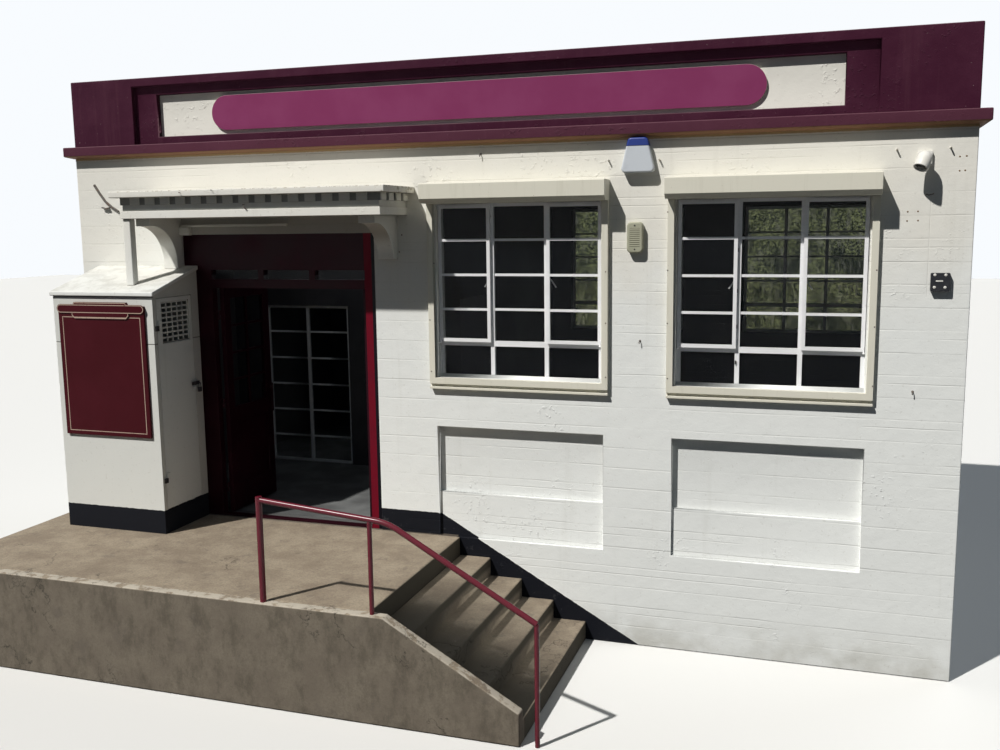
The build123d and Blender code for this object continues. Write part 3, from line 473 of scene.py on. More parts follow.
def notice_finish():
    """Deep maroon board with a fine cream line round its field, its header and its tabs."""
    f = Finish("notice_board_paint")
    foot = local_box("notice_board")[0].z
    middle = FLOOR + NOTICE_FOOT + NOTICE_HEIGHT - 0.029
    centre = (NOTICE_LEFT + NOTICE_RIGHT) / 2
    half = (NOTICE_RIGHT - NOTICE_LEFT) / 2
    field = f.box_edge(NOTICE_LEFT + 0.042, NOTICE_RIGHT - 0.042, foot + 0.036, middle - 0.075,
                       LINE_FAR - LINE_NEAR)
    radius = 0.041
    from_middle = f.x.away_from(centre)
    over = f.z - middle
    under = middle - f.z
    past_end = (from_middle - (half + 0.007 - radius)).higher_of(0.0)
    pill = (past_end * past_end + over * over).math("SQRT") - radius
    side = from_middle - (half - 0.160)
    lower_tab = side.higher_of(under - 0.092).higher_of((side + under - 0.062) * 0.7)
    upper_tab = (side - over * -0.48).higher_of(over - 0.062)
    pill_line, lower_line, upper_line = (shape.within(-LINE_FAR, -LINE_NEAR)
                                         for shape in (pill, lower_tab, upper_tab))
    clear_of_pill = pill > 0.0
    lower_line *= clear_of_pill * (under > 0)
    upper_line *= clear_of_pill * (over > 0)
    lines = field.higher_of(pill_line).higher_of(lower_line).higher_of(upper_line)
    lines *= f.facing("Y") < -0.7
    cloud = f.noise(2.0, 4).ramp(0.4, 0.7)
    colour = f.mix(cloud * 0.5, (0.055, 0.005, 0.009), (0.070, 0.009, 0.015))
    worn = f.noise(60, 3).ramp(0.30, 0.42, 0.55, 1.0)
    colour = f.mix(lines * worn * 0.85, colour, (0.58, 0.45, 0.36))
    return f.surface(colour, cloud * 0.1 + 0.30, f.relief(f.grain(60, 0.0001)),
                     Specular_IOR_Level=0.07)


def steel_finish():
    """White gloss on old steel windows, with rust bleeding at the corners."""
    f = Finish("white_window_gloss")
    rust = f.hollows(0.02).ramp(0.75, 0.35) * f.noise(16, 4, 0.65).ramp(0.60, 0.72)
    dull = f.noise(5, 3).ramp(0.4, 0.7)
    colour = f.mix(dull * 0.35, (0.88, 0.885, 0.90), (0.74, 0.745, 0.755))
    chips = f.noise(70, 3, 0.7).ramp(0.69, 0.73)
    colour = f.mix((rust * 0.6).higher_of(chips * 0.5), colour, (0.16, 0.08, 0.04))
    runs = (f.noise(60, 2, stretch=(1, 1, 0.25)) - 0.5) * 0.0003
    return f.surface(colour, dull * 0.2 + 0.30, f.relief(runs), Specular_IOR_Level=0.4)


def shutter_finish():
    """Cream powder coat, streaked by rain and darker in its corners."""
    f = Finish("cream_powder_coat")
    streaks = f.noise(24, 4, 0.6, stretch=(1, 1, 0.06)).ramp(0.52, 0.72)
    colour = f.mix(streaks * 0.25, (0.75, 0.73, 0.63), (0.56, 0.54, 0.44))
    # Darker in the corners that the occlusion node finds
    colour = f.mix(f.hollows(0.03).ramp(0.7, 0.3) * 0.45, colour, (0.18, 0.16, 0.12))
    chips = f.noise(50, 3, 0.7, shift=4.0).ramp(0.70, 0.74)
    colour = f.mix(chips * 0.7, colour, (0.14, 0.12, 0.09))
    return f.surface(colour, 0.42, f.relief(f.grain(220, 0.0001)), Specular_IOR_Level=0.2)


def joinery_finish(name, base, worn, sunlit_strip=None):
    """Brushed gloss over joinery, faded where it is worn. Its colours are near black, painted shade
    for crimson gloss out of the sun; a doorway may have a sunlit strip in the real crimson, with
    darker painted shade past it.
    """
    f = Finish(name)
    brush = f.noise(70, 3, 0.6, stretch=(1, 1, 0.05)) - 0.5
    fade = f.noise(3.2, 4, 0.6).ramp(0.42, 0.68)
    colour = f.mix(fade * 0.45, base, worn)
    if sunlit_strip:
        outside = f.y < ENTRANCE_DEPTH
        # Painted light and shade: the strip the sun reaches keeps the crimson, the rest is near
        # black
        sunlit_crimson = f.mix(fade * 0.5, (0.150, 0.005, 0.016), (0.105, 0.007, 0.018))
        colour = f.mix(f.x.within(*sunlit_strip) * outside, colour, sunlit_crimson)
        # Painted shade: near black on the frame's edge past the sunlit strip
        colour = f.mix((f.x > sunlit_strip[1]) * outside, colour, (0.006, 0.005, 0.008))
    return f.surface(colour, fade * 0.16 + 0.36, f.relief(brush * 0.0006),
                     Specular_IOR_Level=CHALKY)


def rail_finish():
    """Maroon gloss on the tube rail, worn to steel in places."""
    f = Finish("maroon_rail_gloss")
    bare = f.noise(9, 5, 0.7).ramp(0.66, 0.71)
    colour = f.mix(bare, (0.125, 0.008, 0.020), (0.16, 0.14, 0.13))
    height = f.grain(120, 0.0002) - bare * 0.0004
    return f.surface(colour, bare * 0.3 + 0.26, f.relief(height), Specular_IOR_Level=0.3)


def paving_finish():
    """Sandy brown concrete, stained and cracked, with a chipped pale kerb; painted shade darkens
    the side faces and, much more, the risers, and the sides are mossy in patches.
    """
    f = Finish("worn_concrete_paving")
    sand = f.noise(3.1, 9, 0.74).ramp(0.36, 0.66)
    colour = f.mix(sand, (0.235, 0.19, 0.14), (0.345, 0.29, 0.215))
    grains = f.noise(62, 4, 0.8).ramp(0.44, 0.62)
    colour = f.mix(grains * 0.42, colour, (0.15, 0.12, 0.10))
    blots = f.noise(5, 5, 0.7, shift=12.0).ramp(0.57, 0.68)
    colour = f.mix(blots * 0.40, colour, (0.12, 0.10, 0.085))
    cracks = f.noise(1.3, 7, 0.6, shift=17.0).away_from(0.5).ramp(0.0035, 0.0010)
    cracks *= f.noise(0.9, 2, shift=6.0).ramp(0.52, 0.60)
    side = f.facing("Z").ramp(0.7, 0.3)
    riser = side * (f.y > RISERS_FROM)
    # Painted shade: side faces darker, risers much darker; moss grows in patches on the sides
    colour = f.mix(side * 0.6, colour, (0.125, 0.11, 0.09))
    moss = side * f.noise(7, 7, 0.75, stretch=(1, 1, 0.5), shift=8.0).ramp(0.44, 0.66)
    colour = f.mix((moss * 0.40).higher_of(riser * 0.85), colour, (0.046, 0.040, 0.028))
    kerb = (f.y < KERB_FROM) * f.noise(11, 4, 0.65, shift=3.0).ramp(0.40, 0.52)
    kerb *= f.facing("Z").ramp(0.2, 0.8)
    colour = f.mix(kerb * 0.55, colour, (0.60, 0.56, 0.48))
    colour = f.mix(cracks * 0.7, colour, (0.05, 0.045, 0.035))
    height = (f.noise(60, 4, 0.7) - 0.5) * 0.0012 + f.grain(4, 0.004, 3) - cracks * 0.003
    return f.surface(colour, 0.85, f.relief(height + kerb * 0.002), Specular_IOR_Level=0.25)


def felt_finish():
    """Mineral felt laid in strips with lapped seams."""
    f = Finish("mineral_roof_felt")
    strip = 1.0
    seam = f.x.to_nearest(strip).ramp(0.012, 0.004)
    grit = f.noise(240, 2, 0.8).ramp(0.35, 0.65)
    pools = f.noise(0.9, 4, 0.55).ramp(0.45, 0.62)
    colour = f.mix(grit, (0.13, 0.135, 0.14), (0.24, 0.24, 0.245))
    colour = f.mix(pools * 0.5, colour, (0.08, 0.085, 0.08))
    colour = f.mix(seam * 0.6, colour, (0.03, 0.03, 0.03))
    height = grit * 0.0006 + seam * 0.003 + f.grain(2.5, 0.006)
    return f.surface(colour, 0.9, f.relief(height), Specular_IOR_Level=0.2)


def inside_finish(name, dark, pale, scale):
    """Dull, cloudy surfaces indoors."""
    f = Finish(name)
    cloud = f.noise(scale, 4).ramp(0.35, 0.7)
    return f.surface(f.mix(cloud, dark, pale), 0.8, f.relief(f.grain(20, 0.0012, 3)),
                     Specular_IOR_Level=0.15)


def glass_finish():
    """Old window glass: clear, wavy and filmed with dust."""
    f = Finish("window_glass")
    film = f.noise(8, 4, 0.6).ramp(0.45, 0.80)
    return f.surface((0.010, 0.012, 0.016), film * 0.06 + 0.03, f.relief(f.grain(3.5, 0.0010)),
                     Alpha=film * 0.05 + 0.14, Specular_IOR_Level=0.35)


def back_glass_finish():
    """Glass at the back, mottled green with painted leaves: a painted view of the greenery beyond
    it.
    """
    f = Finish("back_window_glass")
    # Painted view of greenery: leaves, clumps and stems painted into the glass's tint
    leaves = f.noise(36, 5, 0.85).ramp(0.44, 0.60)
    clumps = f.noise(2.6, 3, shift=5.0).ramp(0.34, 0.56, 0.15, 1.0)
    stems = f.noise(14, 5, 0.75, stretch=(1, 1, 0.3), shift=9.0).ramp(0.52, 0.60)
    colour = f.mix(leaves * clumps, (0.007, 0.010, 0.009), (0.21, 0.23, 0.105))
    colour = f.mix(stems * 0.5, colour, (0.15, 0.15, 0.125))
    return f.surface(colour, 0.05, Transmission_Weight=1.0, IOR=1.12)


def plain_finish(name, base, spot, roughness, size=12.0):
    """Small manufactured things: an even coat with slight fading, darker in its hollows, and a fine
    texture.
    """
    f = Finish(name)
    fade = f.noise(size, 4, 0.6).ramp(0.42, 0.70)
    # Darker in the hollows that the occlusion node finds
    dust = f.hollows(0.02).ramp(0.7, 0.3)
    colour = f.mix(dust * 0.4, f.mix(fade * 0.5, base, spot), (0.10, 0.09, 0.075))
    return f.surface(colour, fade * 0.12 + roughness, f.relief(f.grain(size * 18, 0.0002)),
                     Specular_IOR_Level=0.25)


def alarm_finish():
    """Pale plastic with a blue cap moulded on its top quarter."""
    f = Finish("alarm_plastic")
    low, high = local_box("alarm_box")
    cap = low.z + (high.z - low.z) * 0.76
    gap = f.z.away_from(cap).ramp(0.004, 0.001)
    fade = f.noise(9, 4).ramp(0.4, 0.7)
    colour = f.mix(fade * 0.4, (0.62, 0.66, 0.71), (0.52, 0.55, 0.60))
    colour = f.mix(f.z > cap, colour, (0.012, 0.035, 0.22))
    colour = f.mix(gap * 0.8, colour, (0.02, 0.02, 0.03))
    return f.surface(colour, fade * 0.1 + 0.28, f.relief(f.grain(160, 0.0001) - gap * 0.002),
                     Specular_IOR_Level=0.4)


def sounder_finish():
    """Aged grey-beige plastic with a block of moulded ribs, and painted shade in the slots between
    them.
    """
    f = Finish("sounder_plastic")
    low, high = local_box("sounder_box")
    middle, half = (low.z + high.z) / 2, (high.z - low.z) / 2
    centre = (low.x + high.x) / 2
    rib_pitch, block_side = 0.017, 0.042
    rib = f.z.to_nearest(rib_pitch).ramp(0.0015, 0.0050)
    block = (f.z.away_from(middle) < half * 0.60) * (f.x.away_from(centre) < block_side)
    # Painted shade: the slots between the ribs are darkened
    slot = block * (f.facing("Y") < -0.6) * (1 - rib)
    fade = f.noise(14, 4).ramp(0.4, 0.7)
    colour = f.mix(fade * 0.5, (0.40, 0.40, 0.30), (0.32, 0.32, 0.235))
    colour = f.mix(slot * 0.7, colour, (0.12, 0.11, 0.075))
    return f.surface(colour, 0.5, f.relief(f.grain(200, 0.0002) - slot * 0.003),
                     Specular_IOR_Level=0.3)


FINISHES = {
    "white_wall": wall_finish(),
    "white_render": render_finish(),
    "booth": booth_finish(),
    "maroon_render": maroon_render_finish(),
    "sign_maroon": sign_finish(),
    "roof": felt_finish(),
    "floor": inside_finish("concrete_floor", (0.085, 0.087, 0.088), (0.15, 0.155, 0.155), 2.5),
    "white_steel": steel_finish(),
    "glass": glass_finish(),
    "back_glass": back_glass_finish(),
    "shutter_cream": shutter_finish(),
    # Joinery in near-black maroon: painted shade for the crimson gloss out of the sun
    "maroon_timber": joinery_finish("maroon_joinery_gloss", (0.020, 0.003, 0.007),
                                    (0.030, 0.005, 0.010)),
    "entrance_gloss": joinery_finish("entrance_frame_gloss", (0.018, 0.003, 0.006),
                                     (0.028, 0.004, 0.009), JAMB_LIT),
    "notice_maroon": notice_finish(),
    # Inside plaster in near black: painted shade
    "plaster": inside_finish("inside_plaster", (0.050, 0.050, 0.055), (0.075, 0.075, 0.080), 1.5),
    "paving": paving_finish(),
    "rail_maroon": rail_finish(),
    "alarm_white": alarm_finish(),
    "sounder_beige": sounder_finish(),
}

# Finishes of small manufactured things: name, colour, faded colour, roughness and spot size
for finish, *coat in (
        ("dark_steel", "dark_steel", (0.03, 0.03, 0.034), (0.07, 0.055, 0.045), 0.5),
        ("rusty_steel", "weathered_steel", (0.14, 0.13, 0.12), (0.20, 0.10, 0.05), 0.55, 30.0),
        ("screen_cream", "screen_paint", (0.80, 0.82, 0.82), (0.66, 0.68, 0.68), 0.5, 5.0),
        ("camera_white", "camera_paint", (0.80, 0.79, 0.75), (0.66, 0.64, 0.58), 0.35),
        ("lens_black", "lens_black", (0.006, 0.006, 0.008), (0.012, 0.012, 0.015), 0.12),
        ("switch_black", "switch_plastic", (0.012, 0.013, 0.018), (0.03, 0.03, 0.035), 0.3),
        ("gutter_black", "gutter_paint", (0.018, 0.018, 0.02), (0.05, 0.05, 0.05), 0.4, 6.0),
        ("plug_brown", "wall_plug", (0.16, 0.09, 0.035), (0.10, 0.06, 0.03), 0.6)):
    FINISHES[finish] = plain_finish(*coat)


# Meshes

SLOTS = {part["node"]: part["material_slot"] for part in frame["record"]["subparts"]}

# Widths and angles in the rounding of edges
WELD = 1e-5
FLAT = math.radians(0.5)
NODE_EDGE = math.radians(28)
FORM_EDGE = math.radians(40)
SHADED_EDGE = math.radians(38)
EDGE_PROFILE = 0.6
EDGE_STEPS, MOULDED_STEPS = 2, 4


def body_of(node):
    return frame["nodes"][node]["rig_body"]


def linked(name, data):
    """A new object in the scene."""
    made = bpy.data.objects.new(name, data)
    bpy.context.scene.collection.objects.link(made)
    return made


def add_piece(name, mesh, finish, body):
    """A new piece in the frame's coordinates, riding on a body."""
    piece = linked(name, mesh)
    mesh.materials.clear()
    mesh.materials.append(FINISHES[finish])
    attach(piece, body)
    return piece


def rounded_mesh(name, edit, sharp, width, segments):
    """A smooth mesh from an edit, with the edges that are named rounded to a width."""
    if width:
        bmesh.ops.bevel(edit, geom=sharp, offset=width, offset_type="OFFSET", segments=segments,
                        profile=EDGE_PROFILE, affect="EDGES", clamp_overlap=True)
    mesh = bpy.data.meshes.new(name + "_shape")
    edit.to_mesh(mesh)
    edit.free()
    for polygon in mesh.polygons:
        polygon.use_smooth = True
    return mesh


def sharp_edges(edit, angle):
    return [edge for edge in edit.edges
            if len(edge.link_faces) == 2 and edge.calc_face_angle(0) > angle]


def softened(node, width, segments, finish=None):
    """The node's shape with its outward edges rounded, standing for the node."""
    edit = bmesh.new()
    edit.from_mesh(frame["nodes"][node].data)
    bmesh.ops.remove_doubles(edit, verts=edit.verts, dist=WELD)
    bmesh.ops.dissolve_limit(edit, angle_limit=FLAT, verts=edit.verts, edges=edit.edges)
    bmesh.ops.recalc_face_normals(edit, faces=edit.faces)
    outward = [edge for edge in sharp_edges(edit, NODE_EDGE) if edge.is_convex]
    mesh = rounded_mesh(node, edit, outward, width, segments)
    slot = SLOTS[node]
    piece = add_piece(node + "_finished", mesh, finish or slot, body_of(node))
    weighted = piece.modifiers.new("weighted_normals", "WEIGHTED_NORMAL")
    weighted.keep_sharp = False
    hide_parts(node)


def crossways(direction):
    """Two directions square to a line and to each other."""
    aside = Vector((0, 0, 1)) if abs(direction.z) < 0.9 else Vector((1, 0, 0))
    first = direction.cross(aside).normalized()
    return first, direction.cross(first).normalized()


def circle(centre, first, second, radius, segments):
    """Points round a centre, in the plane of two directions."""
    turns = (2 * math.pi * step / segments for step in range(segments))
    return [centre + (first * math.cos(turn) + second * math.sin(turn)) * radius
            for turn in turns]


def neighbours(points, index):
    """The points before and after one of a row, or the point itself at an end."""
    return points[max(index - 1, 0)], points[min(index + 1, len(points) - 1)]


class Form:
    """A mesh put together from solids, given in the building's own measures."""

    def __init__(self):
        self.edit = bmesh.new()

    def rings(self, rings):
        """A skin through closed rings of points, with both ends shut."""
        loops = [[self.edit.verts.new(at(*point)) for point in ring] for ring in rings]
        for first, second in zip(loops, loops[1:]):
            count = len(first)
            for index in range(count):
                after = (index + 1) % count
                self.edit.faces.new((first[index], first[after], second[after], second[index]))
        self.edit.faces.new(loops[0][::-1])
        self.edit.faces.new(loops[-1])
        return self

    def plate(self, outline, y0, y1):
        """A plate of an (x, z) outline between two depths."""
        return self.rings([[(x, y, z) for x, z in outline] for y in (y0, y1)])

    def slab(self, x0, x1, y0, y1, z0, z1):
        return self.plate([(x0, z0), (x1, z0), (x1, z1), (x0, z1)], y0, y1)

    def turned(self, start, direction, profile, segments=20):
        """A round form: (distance along, radius) steps from a start point along a direction."""
        start, direction = Vector(start), Vector(direction).normalized()
        first, second = crossways(direction)
        return self.rings([circle(start + direction * along, first, second, radius, segments)
                           for along, radius in profile])

    def bent(self, points, radius, segments=10):
        """A round bar along points, mitred where it bends."""
        points = [Vector(point) for point in points]
        rings = []
        guide = None
        for index, point in enumerate(points):
            behind, ahead = neighbours(points, index)
            direction = (ahead - behind).normalized()
            if guide is None:
                guide = crossways(direction)[0]
            guide = (guide - direction * guide.dot(direction)).normalized()
            rings.append(circle(point, guide, direction.cross(guide), radius, segments))
        return self.rings(rings)

    def piece(self, name, finish, body="building", slot=None, soften=0.0):
        bmesh.ops.recalc_face_normals(self.edit, faces=self.edit.faces)
        sharp = sharp_edges(self.edit, FORM_EDGE)
        mesh = rounded_mesh(name, self.edit, sharp, soften, EDGE_STEPS)
        mesh.set_sharp_from_angle(angle=SHADED_EDGE)
        return add_piece(name, mesh, finish, body)


# Width that each node's edges are rounded to, by how it is made
EDGES = {
    "front_wall": 0.008, "back_wall": 0.008, "left_wall": 0.008, "right_wall": 0.008,
    "parapet": 0.010, "cornice": 0.010, "canopy_slab": 0.008, "canopy_frieze": 0.004,
    "corbels": 0.006, "canopy_post": 0.010, "booth_coping": 0.009, "landing": 0.014,
    "steps": 0.014, "booth_walls": 0.009, "entrance_frame": 0.004, "alarm_box": 0.018,
    "sounder_box": 0.016, "platform_frame": 0.004, "entrance_leaf_left": 0.003,
    "entrance_leaf_right": 0.003, "platform_leaf_left": 0.003, "platform_leaf_right": 0.003,
    "shutter_boxes": 0.003, "shutter_guides": 0.002, "sign_board": 0.003, "notice_board": 0.002,
    "booth_door": 0.003, "lobby_screen": 0.003, "switch_box": 0.006,
}
MOULDED = ("alarm_box", "sounder_box")

# Nodes whose finish isn't their slot's
OWN_FINISH = {"booth_walls": "booth", "booth_grille": "booth", "back_glass": "back_glass",
              "entrance_frame": "entrance_gloss"}

for node, width in EDGES.items():
    steps = MOULDED_STEPS if node in MOULDED else EDGE_STEPS
    softened(node, width, steps, OWN_FINISH.get(node))


# Small things on the front

OUTWARDS, INWARDS, UPWARDS, RIGHTWARDS = (0, -1, 0), (0, 1, 0), (0, 0, 1), (1, 0, 0)

# How far fittings reach into the wall's face, and the sides of a small round form
LET_IN = 0.001
SMALL_ROUND = 12


def many_discs(name, points, y, radius, finish):
    """Domed screw heads or plugs as one piece, standing out from y towards the front."""
    proud = 0.003
    form = Form()
    profile = [(-LET_IN, radius), (proud * 0.5, radius), (proud * 0.85, radius * 0.8),
               (proud, radius * 0.4)]
    for x, z in points:
        form.turned((x, y, z), OUTWARDS, profile, SMALL_ROUND)
    form.piece(name, finish, slot="dark_steel")


def band(points, width):
    """Outline of a strip of a width along (x, z) points."""
    left, right = [], []
    for index, (x, z) in enumerate(points):
        behind, ahead = neighbours(points, index)
        across = Vector((behind[1] - ahead[1], ahead[0] - behind[0])).normalized() * (width / 2)
        left.append((x + across.x, z + across.y))
        right.append((x - across.x, z - across.y))
    return left + right[::-1]


def wall_bar():
    """A flat bar fixed to the wall at the left, with a hook under it."""
    bar = [(0.208, 4.141), (0.262, 4.062), (0.330, 3.975), (0.398, 3.922), (0.476, 3.875)]
    hook = [(0.295, 3.918), (0.330, 3.905), (0.376, 3.912)]
    rivet = [(0, 0.009), (0.005, 0.009), (0.007, 0.005)]
    form = Form().plate(band(bar, 0.020), -0.016, LET_IN)
    form.plate(band(hook, 0.012), -0.030, LET_IN)
    form.turned((0.215, -0.014, 4.132), OUTWARDS, rivet, SMALL_ROUND)
    form.piece("wall_bar", "rusty_steel", slot="dark_steel", soften=0.0015)


def pegs():
    """White pegs left in the wall above the windows."""
    form = Form()
    profile = [(0, 0.010), (0.004, 0.010), (0.006, 0.0065), (0.040, 0.006), (0.044, 0.0035)]
    for x, z in ((5.417, 4.218), (5.844, 4.208), (7.660, 4.228), (8.039, 4.230)):
        form.turned((x, 0.002, z), (0, -1, 0.06), profile, SMALL_ROUND)
    form.piece("wall_pegs", "white_render")


def canopy_odds():
    """Nails in the slab, a hook in the frieze and a batten with a block under the canopy."""
    slab_front = local_box("canopy_slab")[0].y
    nail = [(0, 0.003), (0.02, 0.003), (0.021, 0.006)]
    form = Form()
    for x, z in ((1.665, CANOPY_TOP - 0.026), (1.997, CANOPY_TOP - 0.012)):
        form.turned((x, slab_front + 0.004, z), (0, -1, 0.1), nail, 10)
    front = slab_front + 0.085
    hook = [(2.262, front + 0.004, 3.902), (2.262, front - 0.022, 3.902),
            (2.272, front - 0.030, 3.884), (2.288, front - 0.028, 3.866),
            (2.298, front - 0.018, 3.858)]
    form.bent(hook, 0.0035)
    form.piece("canopy_nails", "rusty_steel", slot="dark_steel")
    form = Form().slab(1.206, 2.362, -0.034, LET_IN, 3.712, 3.736)
    form.slab(1.202, 1.308, -0.052, LET_IN, 3.635, 3.712)
    form.piece("canopy_batten", "white_render", soften=0.003)


GUIDE_SCREWS = ((3.845, 3.367), (3.794, 2.860), (3.798, 2.393), (5.402, 3.295), (5.403, 2.859),
                (5.405, 2.394), (5.920, 3.785), (5.925, 3.308), (5.927, 2.868), (5.933, 2.403),
                (7.549, 3.314), (7.550, 2.870), (7.554, 2.399))
WALL_PLUGS = ((7.757, 3.758), (7.830, 3.760), (7.755, 3.688), (7.833, 3.690), (8.105, 4.163),
              (8.152, 4.166), (8.108, 4.058), (8.146, 4.060), (3.520, 3.619), (3.492, 3.467))
PULL_HOOKS = ((4.286, 4.306), (5.691, 2.710), (7.852, 2.360))
CABLE_HOOK = ((7.883, 0.002, 3.888), (7.883, -0.014, 3.888), (7.900, -0.018, 3.882),
              (7.922, -0.018, 3.886), (7.936, -0.012, 3.892))
SWITCH_SCREWS = ((7.969, 3.277), (8.046, 3.277), (8.044, 3.182), (7.969, 3.182))


def small_fixings():
    """Screws in the shutter guides, the switch box and the sounder, plugs and hooks in the wall."""
    guide_front = local_box("shutter_guides")[0].y
    many_discs("guide_screws", GUIDE_SCREWS, guide_front, 0.0055, "rusty_steel")
    many_discs("wall_plugs", WALL_PLUGS, LET_IN, 0.0065, "plug_brown")
    base = [(0, 0.010), (0.003, 0.010), (0.004, 0.007)]
    form = Form()
    for x, z in PULL_HOOKS:
        form.bent([(x, 0.002, z), (x, -0.020, z), (x - 0.004, -0.030, z - 0.010),
                   (x - 0.002, -0.024, z - 0.022)], 0.004)
        form.turned((x, LET_IN, z), OUTWARDS, base, SMALL_ROUND)
    form.piece("pull_hooks", "rusty_steel", slot="dark_steel")
    form = Form().bent(CABLE_HOOK, 0.004)
    form.piece("cable_hook", "rusty_steel", slot="dark_steel")
    front = local_box("switch_box")[0].y
    screw = [(0, 0.011), (0.003, 0.011), (0.005, 0.006)]
    form = Form()
    for x, z in SWITCH_SCREWS:
        form.turned((x, front + LET_IN, z), OUTWARDS, screw, 14)
    form.slab(7.977, 8.028, front - 0.003, front + 0.002, 3.226, 3.235)
    form.piece("switch_screws", "camera_white", slot="alarm_white", soften=0.0008)
    low, high = local_box("sounder_box")
    middle = (low.x + high.x) / 2
    ends = ((middle, low.z + 0.030), (middle, high.z - 0.030))
    many_discs("sounder_screws", ends, low.y, 0.007, "dark_steel")


# Each window's middle and its casements' numbers, then distances from the middle and heights
WINDOWS = ((4.600, 1, 2), (6.740, 3, 4))
MEETING = 0.274
HINGE = 0.738
SLAT_HALF = 0.785
SLAT_LOW, SLAT_HIGH = 3.8845, 3.915
HANDLE_HEIGHT = 3.226


def casement_handle(x, side, number):
    """A turning handle on a casement's inside, with its lever aimed at the hinged side."""
    boss = [(0, 0.013), (0.006, 0.013), (0.009, 0.009), (0.040, 0.008), (0.044, 0.005)]
    lever = [(0.0, 0.098, 0.0), (0.012, 0.102, -0.010), (0.036, 0.104, -0.046),
             (0.056, 0.102, -0.076)]
    handle = Form().turned((x, 0.064, HANDLE_HEIGHT), INWARDS, boss, 14)
    handle.bent([(x + side * along, y, HANDLE_HEIGHT + z) for along, y, z in lever], 0.0065)
    handle.piece("casement_handle_%d" % number, "white_steel", "casement_%d" % number)


def window_fittings():
    """Handles on the casements, and the fasteners and hinges they close on."""
    pin = [(0, 0.006), (0.003, 0.009), (0.010, 0.009)]
    hinges = Form()
    for centre, left_number, right_number in WINDOWS:
        for side, number in ((-1, left_number), (1, right_number)):
            casement_handle(centre + side * MEETING, side, number)
            x = centre + side * HINGE
            hinges.turned((x, 0.012, 2.642), UPWARDS, pin, SMALL_ROUND)
            hinges.slab(x - 0.008, x + 0.008, 0.004, 0.034, 2.6475, 2.654)
    fasteners = Form()
    for z in (3.470, 3.137, 2.841, 2.542):
        fasteners.slab(6.474, 6.486, 0.058, 0.071, z - 0.015, z + 0.015)
    fasteners.piece("mullion_fasteners", "dark_steel", soften=0.0015)
    hinges.piece("casement_hinge_ends", "white_steel", soften=0.001)


def camera_housing():
    """Rounded white housing with a hooded open front, on the base plate and arm of its bracket."""
    centre = Vector((7.846, -0.126, 4.135))
    aim = Vector((-0.34, -0.44, -0.83)).normalized()
    hood = [(0, 0.012), (0.008, 0.030), (0.022, 0.044), (0.045, 0.053), (0.080, 0.056),
            (0.135, 0.056), (0.142, 0.054), (0.142, 0.045), (0.120, 0.043)]
    arm = [(0, 0.030), (0.010, 0.024), (0.060, 0.020)]
    form = Form().turned(centre - aim * 0.075, aim, hood, 32)
    form.slab(7.808, 7.912, -0.030, LET_IN, 4.108, 4.212)
    form.turned((7.860, -0.028, 4.160), OUTWARDS, arm)
    shell = form.piece("camera_housing", "camera_white", soften=0.002)
    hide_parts("camera")
    glass = [(0, 0.043), (0.002, 0.043), (0.003, 0.026), (0.012, 0.024), (0.016, 0.012)]
    lens = Form().turned(centre + aim * 0.046, aim, glass, 28)
    lens.piece("camera_lens", "lens_black", slot="switch_black")


def shutter_slats():
    """The end slat of each rolled shutter, just below its box and running in the guides."""
    front = local_box("shutter_guides")[0].y
    back = front + 0.0245
    form = Form()
    for centre, _, _ in WINDOWS:
        left, right = centre - SLAT_HALF, centre + SLAT_HALF
        form.slab(left, right, front + 0.0135, back, SLAT_LOW, SLAT_HIGH)
        form.slab(left + 0.025, right - 0.025, front + 0.007, back, SLAT_LOW, SLAT_LOW + 0.012)
    form.piece("shutter_end_slats", "shutter_cream", soften=0.0015)


def booth_hasp():
    """Hasp on the booth's side door, with its padlock."""
    face = local_box("booth_door")[1].x
    strap = Form().slab(face - LET_IN, face + 0.004, -0.192, -0.072, 2.192, 2.226)
    knuckle = [(0, 0.006), (0.038, 0.006)]
    rivet = [(0, 0.006), (0.003, 0.005), (0.004, 0.003)]
    form = strap.turned((face + 0.005, -0.150, 2.190), UPWARDS, knuckle, SMALL_ROUND)
    form.turned((face + 0.003, -0.178, 2.209), RIGHTWARDS, rivet, SMALL_ROUND)
    form.slab(face + 0.004, face + 0.022, -0.106, -0.064, 2.118, 2.164)
    shackle = ((-0.099, 2.160), (-0.099, 2.196), (-0.094, 2.206), (-0.076, 2.206),
               (-0.071, 2.196), (-0.071, 2.160))
    form.bent([(face + 0.013, y, z) for y, z in shackle], 0.0035)
    form.piece("booth_hasp", "dark_steel", "booth_door", soften=0.0012)


wall_bar()
pegs()
shutter_slats()
booth_hasp()
canopy_odds()
small_fixings()
window_fittings()
camera_housing()

for node, piece in frame["nodes"].items():
    if not piece.hide_render:
        piece.data.materials.clear()
        piece.data.materials.append(FINISHES[OWN_FINISH.get(node, SLOTS[node])])


# Stage, light and camera

LOOKING = ("Is Camera Ray", "Is Glossy Ray", "Is Transmission Ray")


def looked_at(tree):
    """1 for the kinds of ray that look at the stage, and 0 for those that only light the object."""
    path = tree.nodes.new("ShaderNodeLightPath")
    total = path.outputs[LOOKING[0]]
    for ray in LOOKING[1:]:
        either = tree.nodes.new("ShaderNodeMath")
        either.operation = "MAXIMUM"
        tree.links.new(total, either.inputs[0])
        tree.links.new(path.outputs[ray], either.inputs[1])
        total = either.outputs[0]
    return total


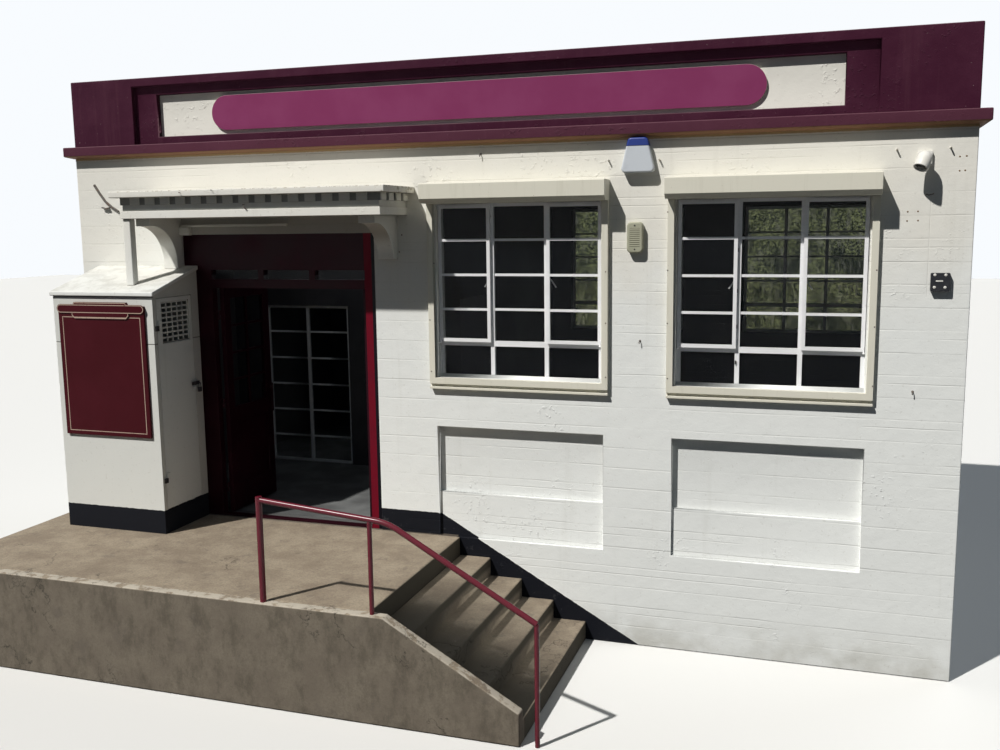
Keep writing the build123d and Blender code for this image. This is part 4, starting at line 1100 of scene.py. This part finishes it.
def stage_floor():
    """A pale floor that keeps the object's shadow and throws little light back up."""
    mesh = bpy.data.meshes.new("stage_floor")
    half, low = 60.0, -0.002
    corners = [(-half, -half, low), (half, -half, low), (half, half, low), (-half, half, low)]
    mesh.from_pydata(corners, [], [(0, 1, 2, 3)])
    f = Finish("stage_floor_paint")
    pale = f.shader((0.74, 0.74, 0.73), 0.9, Specular_IOR_Level=0.1)
    dull = f.shader((0.025, 0.025, 0.025), 0.9, Specular_IOR_Level=0.1)
    seen = Signal(f, looked_at(f.tree))
    f.closed(f.node("ShaderNodeMixShader", {0: seen, 1: dull, 2: pale}))
    mesh.materials.append(f.material)
    floor = linked("stage_floor", mesh)


def lamp(name, kind, energy, colour, **settings):
    """A lamp in the scene, for the caller to aim or place."""
    data = bpy.data.lights.new(name, kind)
    data.energy = energy
    data.color = colour
    for setting, value in settings.items():
        setattr(data, setting, value)
    return linked(name, data)


def aimed(made, direction):
    made.rotation_euler = Vector(direction).to_track_quat("-Z", "Y").to_euler()


def studio_light():
    """A warm key from high on the left in front, a soft cool fill from the right behind, and a
    faint lamp in the lobby."""
    key = lamp("key_light", "SUN", 4.2, (1.0, 0.975, 0.93), angle=math.radians(1.2))
    aimed(key, (0.68, 1.0, -1.49))
    rear = lamp("rear_fill", "SUN", 0.75, (0.90, 0.95, 1.0), angle=math.radians(40))
    aimed(rear, (-0.55, -1.0, -0.75))
    ceiling = lamp("lobby_light", "AREA", 3.0, (0.86, 0.92, 1.0), size=1.2)
    ceiling.location = at(2.2, 1.4, 3.95)
    ceiling.visible_camera = False


def surround():
    """An even sky that fills the shade, and shows as white where it is looked at."""
    world = bpy.data.worlds.new("studio_surround")
    bpy.context.scene.world = world
    world.use_nodes = True
    tree = world.node_tree
    tree.nodes.clear()
    fill = tree.nodes.new("ShaderNodeBackground")
    fill.inputs["Color"].default_value = (0.60, 0.79, 1.0, 1)
    fill.inputs["Strength"].default_value = 0.075
    backdrop = tree.nodes.new("ShaderNodeBackground")
    backdrop.inputs["Color"].default_value = (0.94, 0.97, 1.0, 1)
    either = tree.nodes.new("ShaderNodeMixShader")
    tree.links.new(looked_at(tree), either.inputs[0])
    tree.links.new(fill.outputs[0], either.inputs[1])
    tree.links.new(backdrop.outputs[0], either.inputs[2])
    out = tree.nodes.new("ShaderNodeOutputWorld")
    tree.links.new(either.outputs[0], out.inputs["Surface"])


def photo_camera():
    """The camera where the photograph was taken from, solved from the front's straight edges."""
    yaw, pitch, roll = math.radians(18.44), math.radians(8.35), math.radians(-0.71)
    focal_pixels = 1016.8
    image_width = 1000
    sensor = 36.0
    forward = Vector((-math.sin(yaw), math.cos(yaw), 0))
    right = Vector((math.cos(yaw), math.sin(yaw), 0))
    up = Vector((0, 0, 1))
    look = forward * math.cos(pitch) - up * math.sin(pitch)
    tilted_up = up * math.cos(pitch) + forward * math.sin(pitch)
    across = right * math.cos(roll) + tilted_up * math.sin(roll)
    upright = tilted_up * math.cos(roll) - right * math.sin(roll)
    data = bpy.data.cameras.new("photo_camera")
    data.sensor_width = sensor
    data.lens = sensor * focal_pixels / image_width
    camera = linked("photo_camera", data)
    turn = Matrix((across, upright, -look)).transposed().to_4x4()
    camera.matrix_world = Matrix.Translation(at(7.271, -8.5, 3.690)) @ turn
    bpy.context.scene.camera = camera


stage_floor()
studio_light()
surround()
photo_camera()
bpy.context.scene.view_settings.view_transform = "Standard"
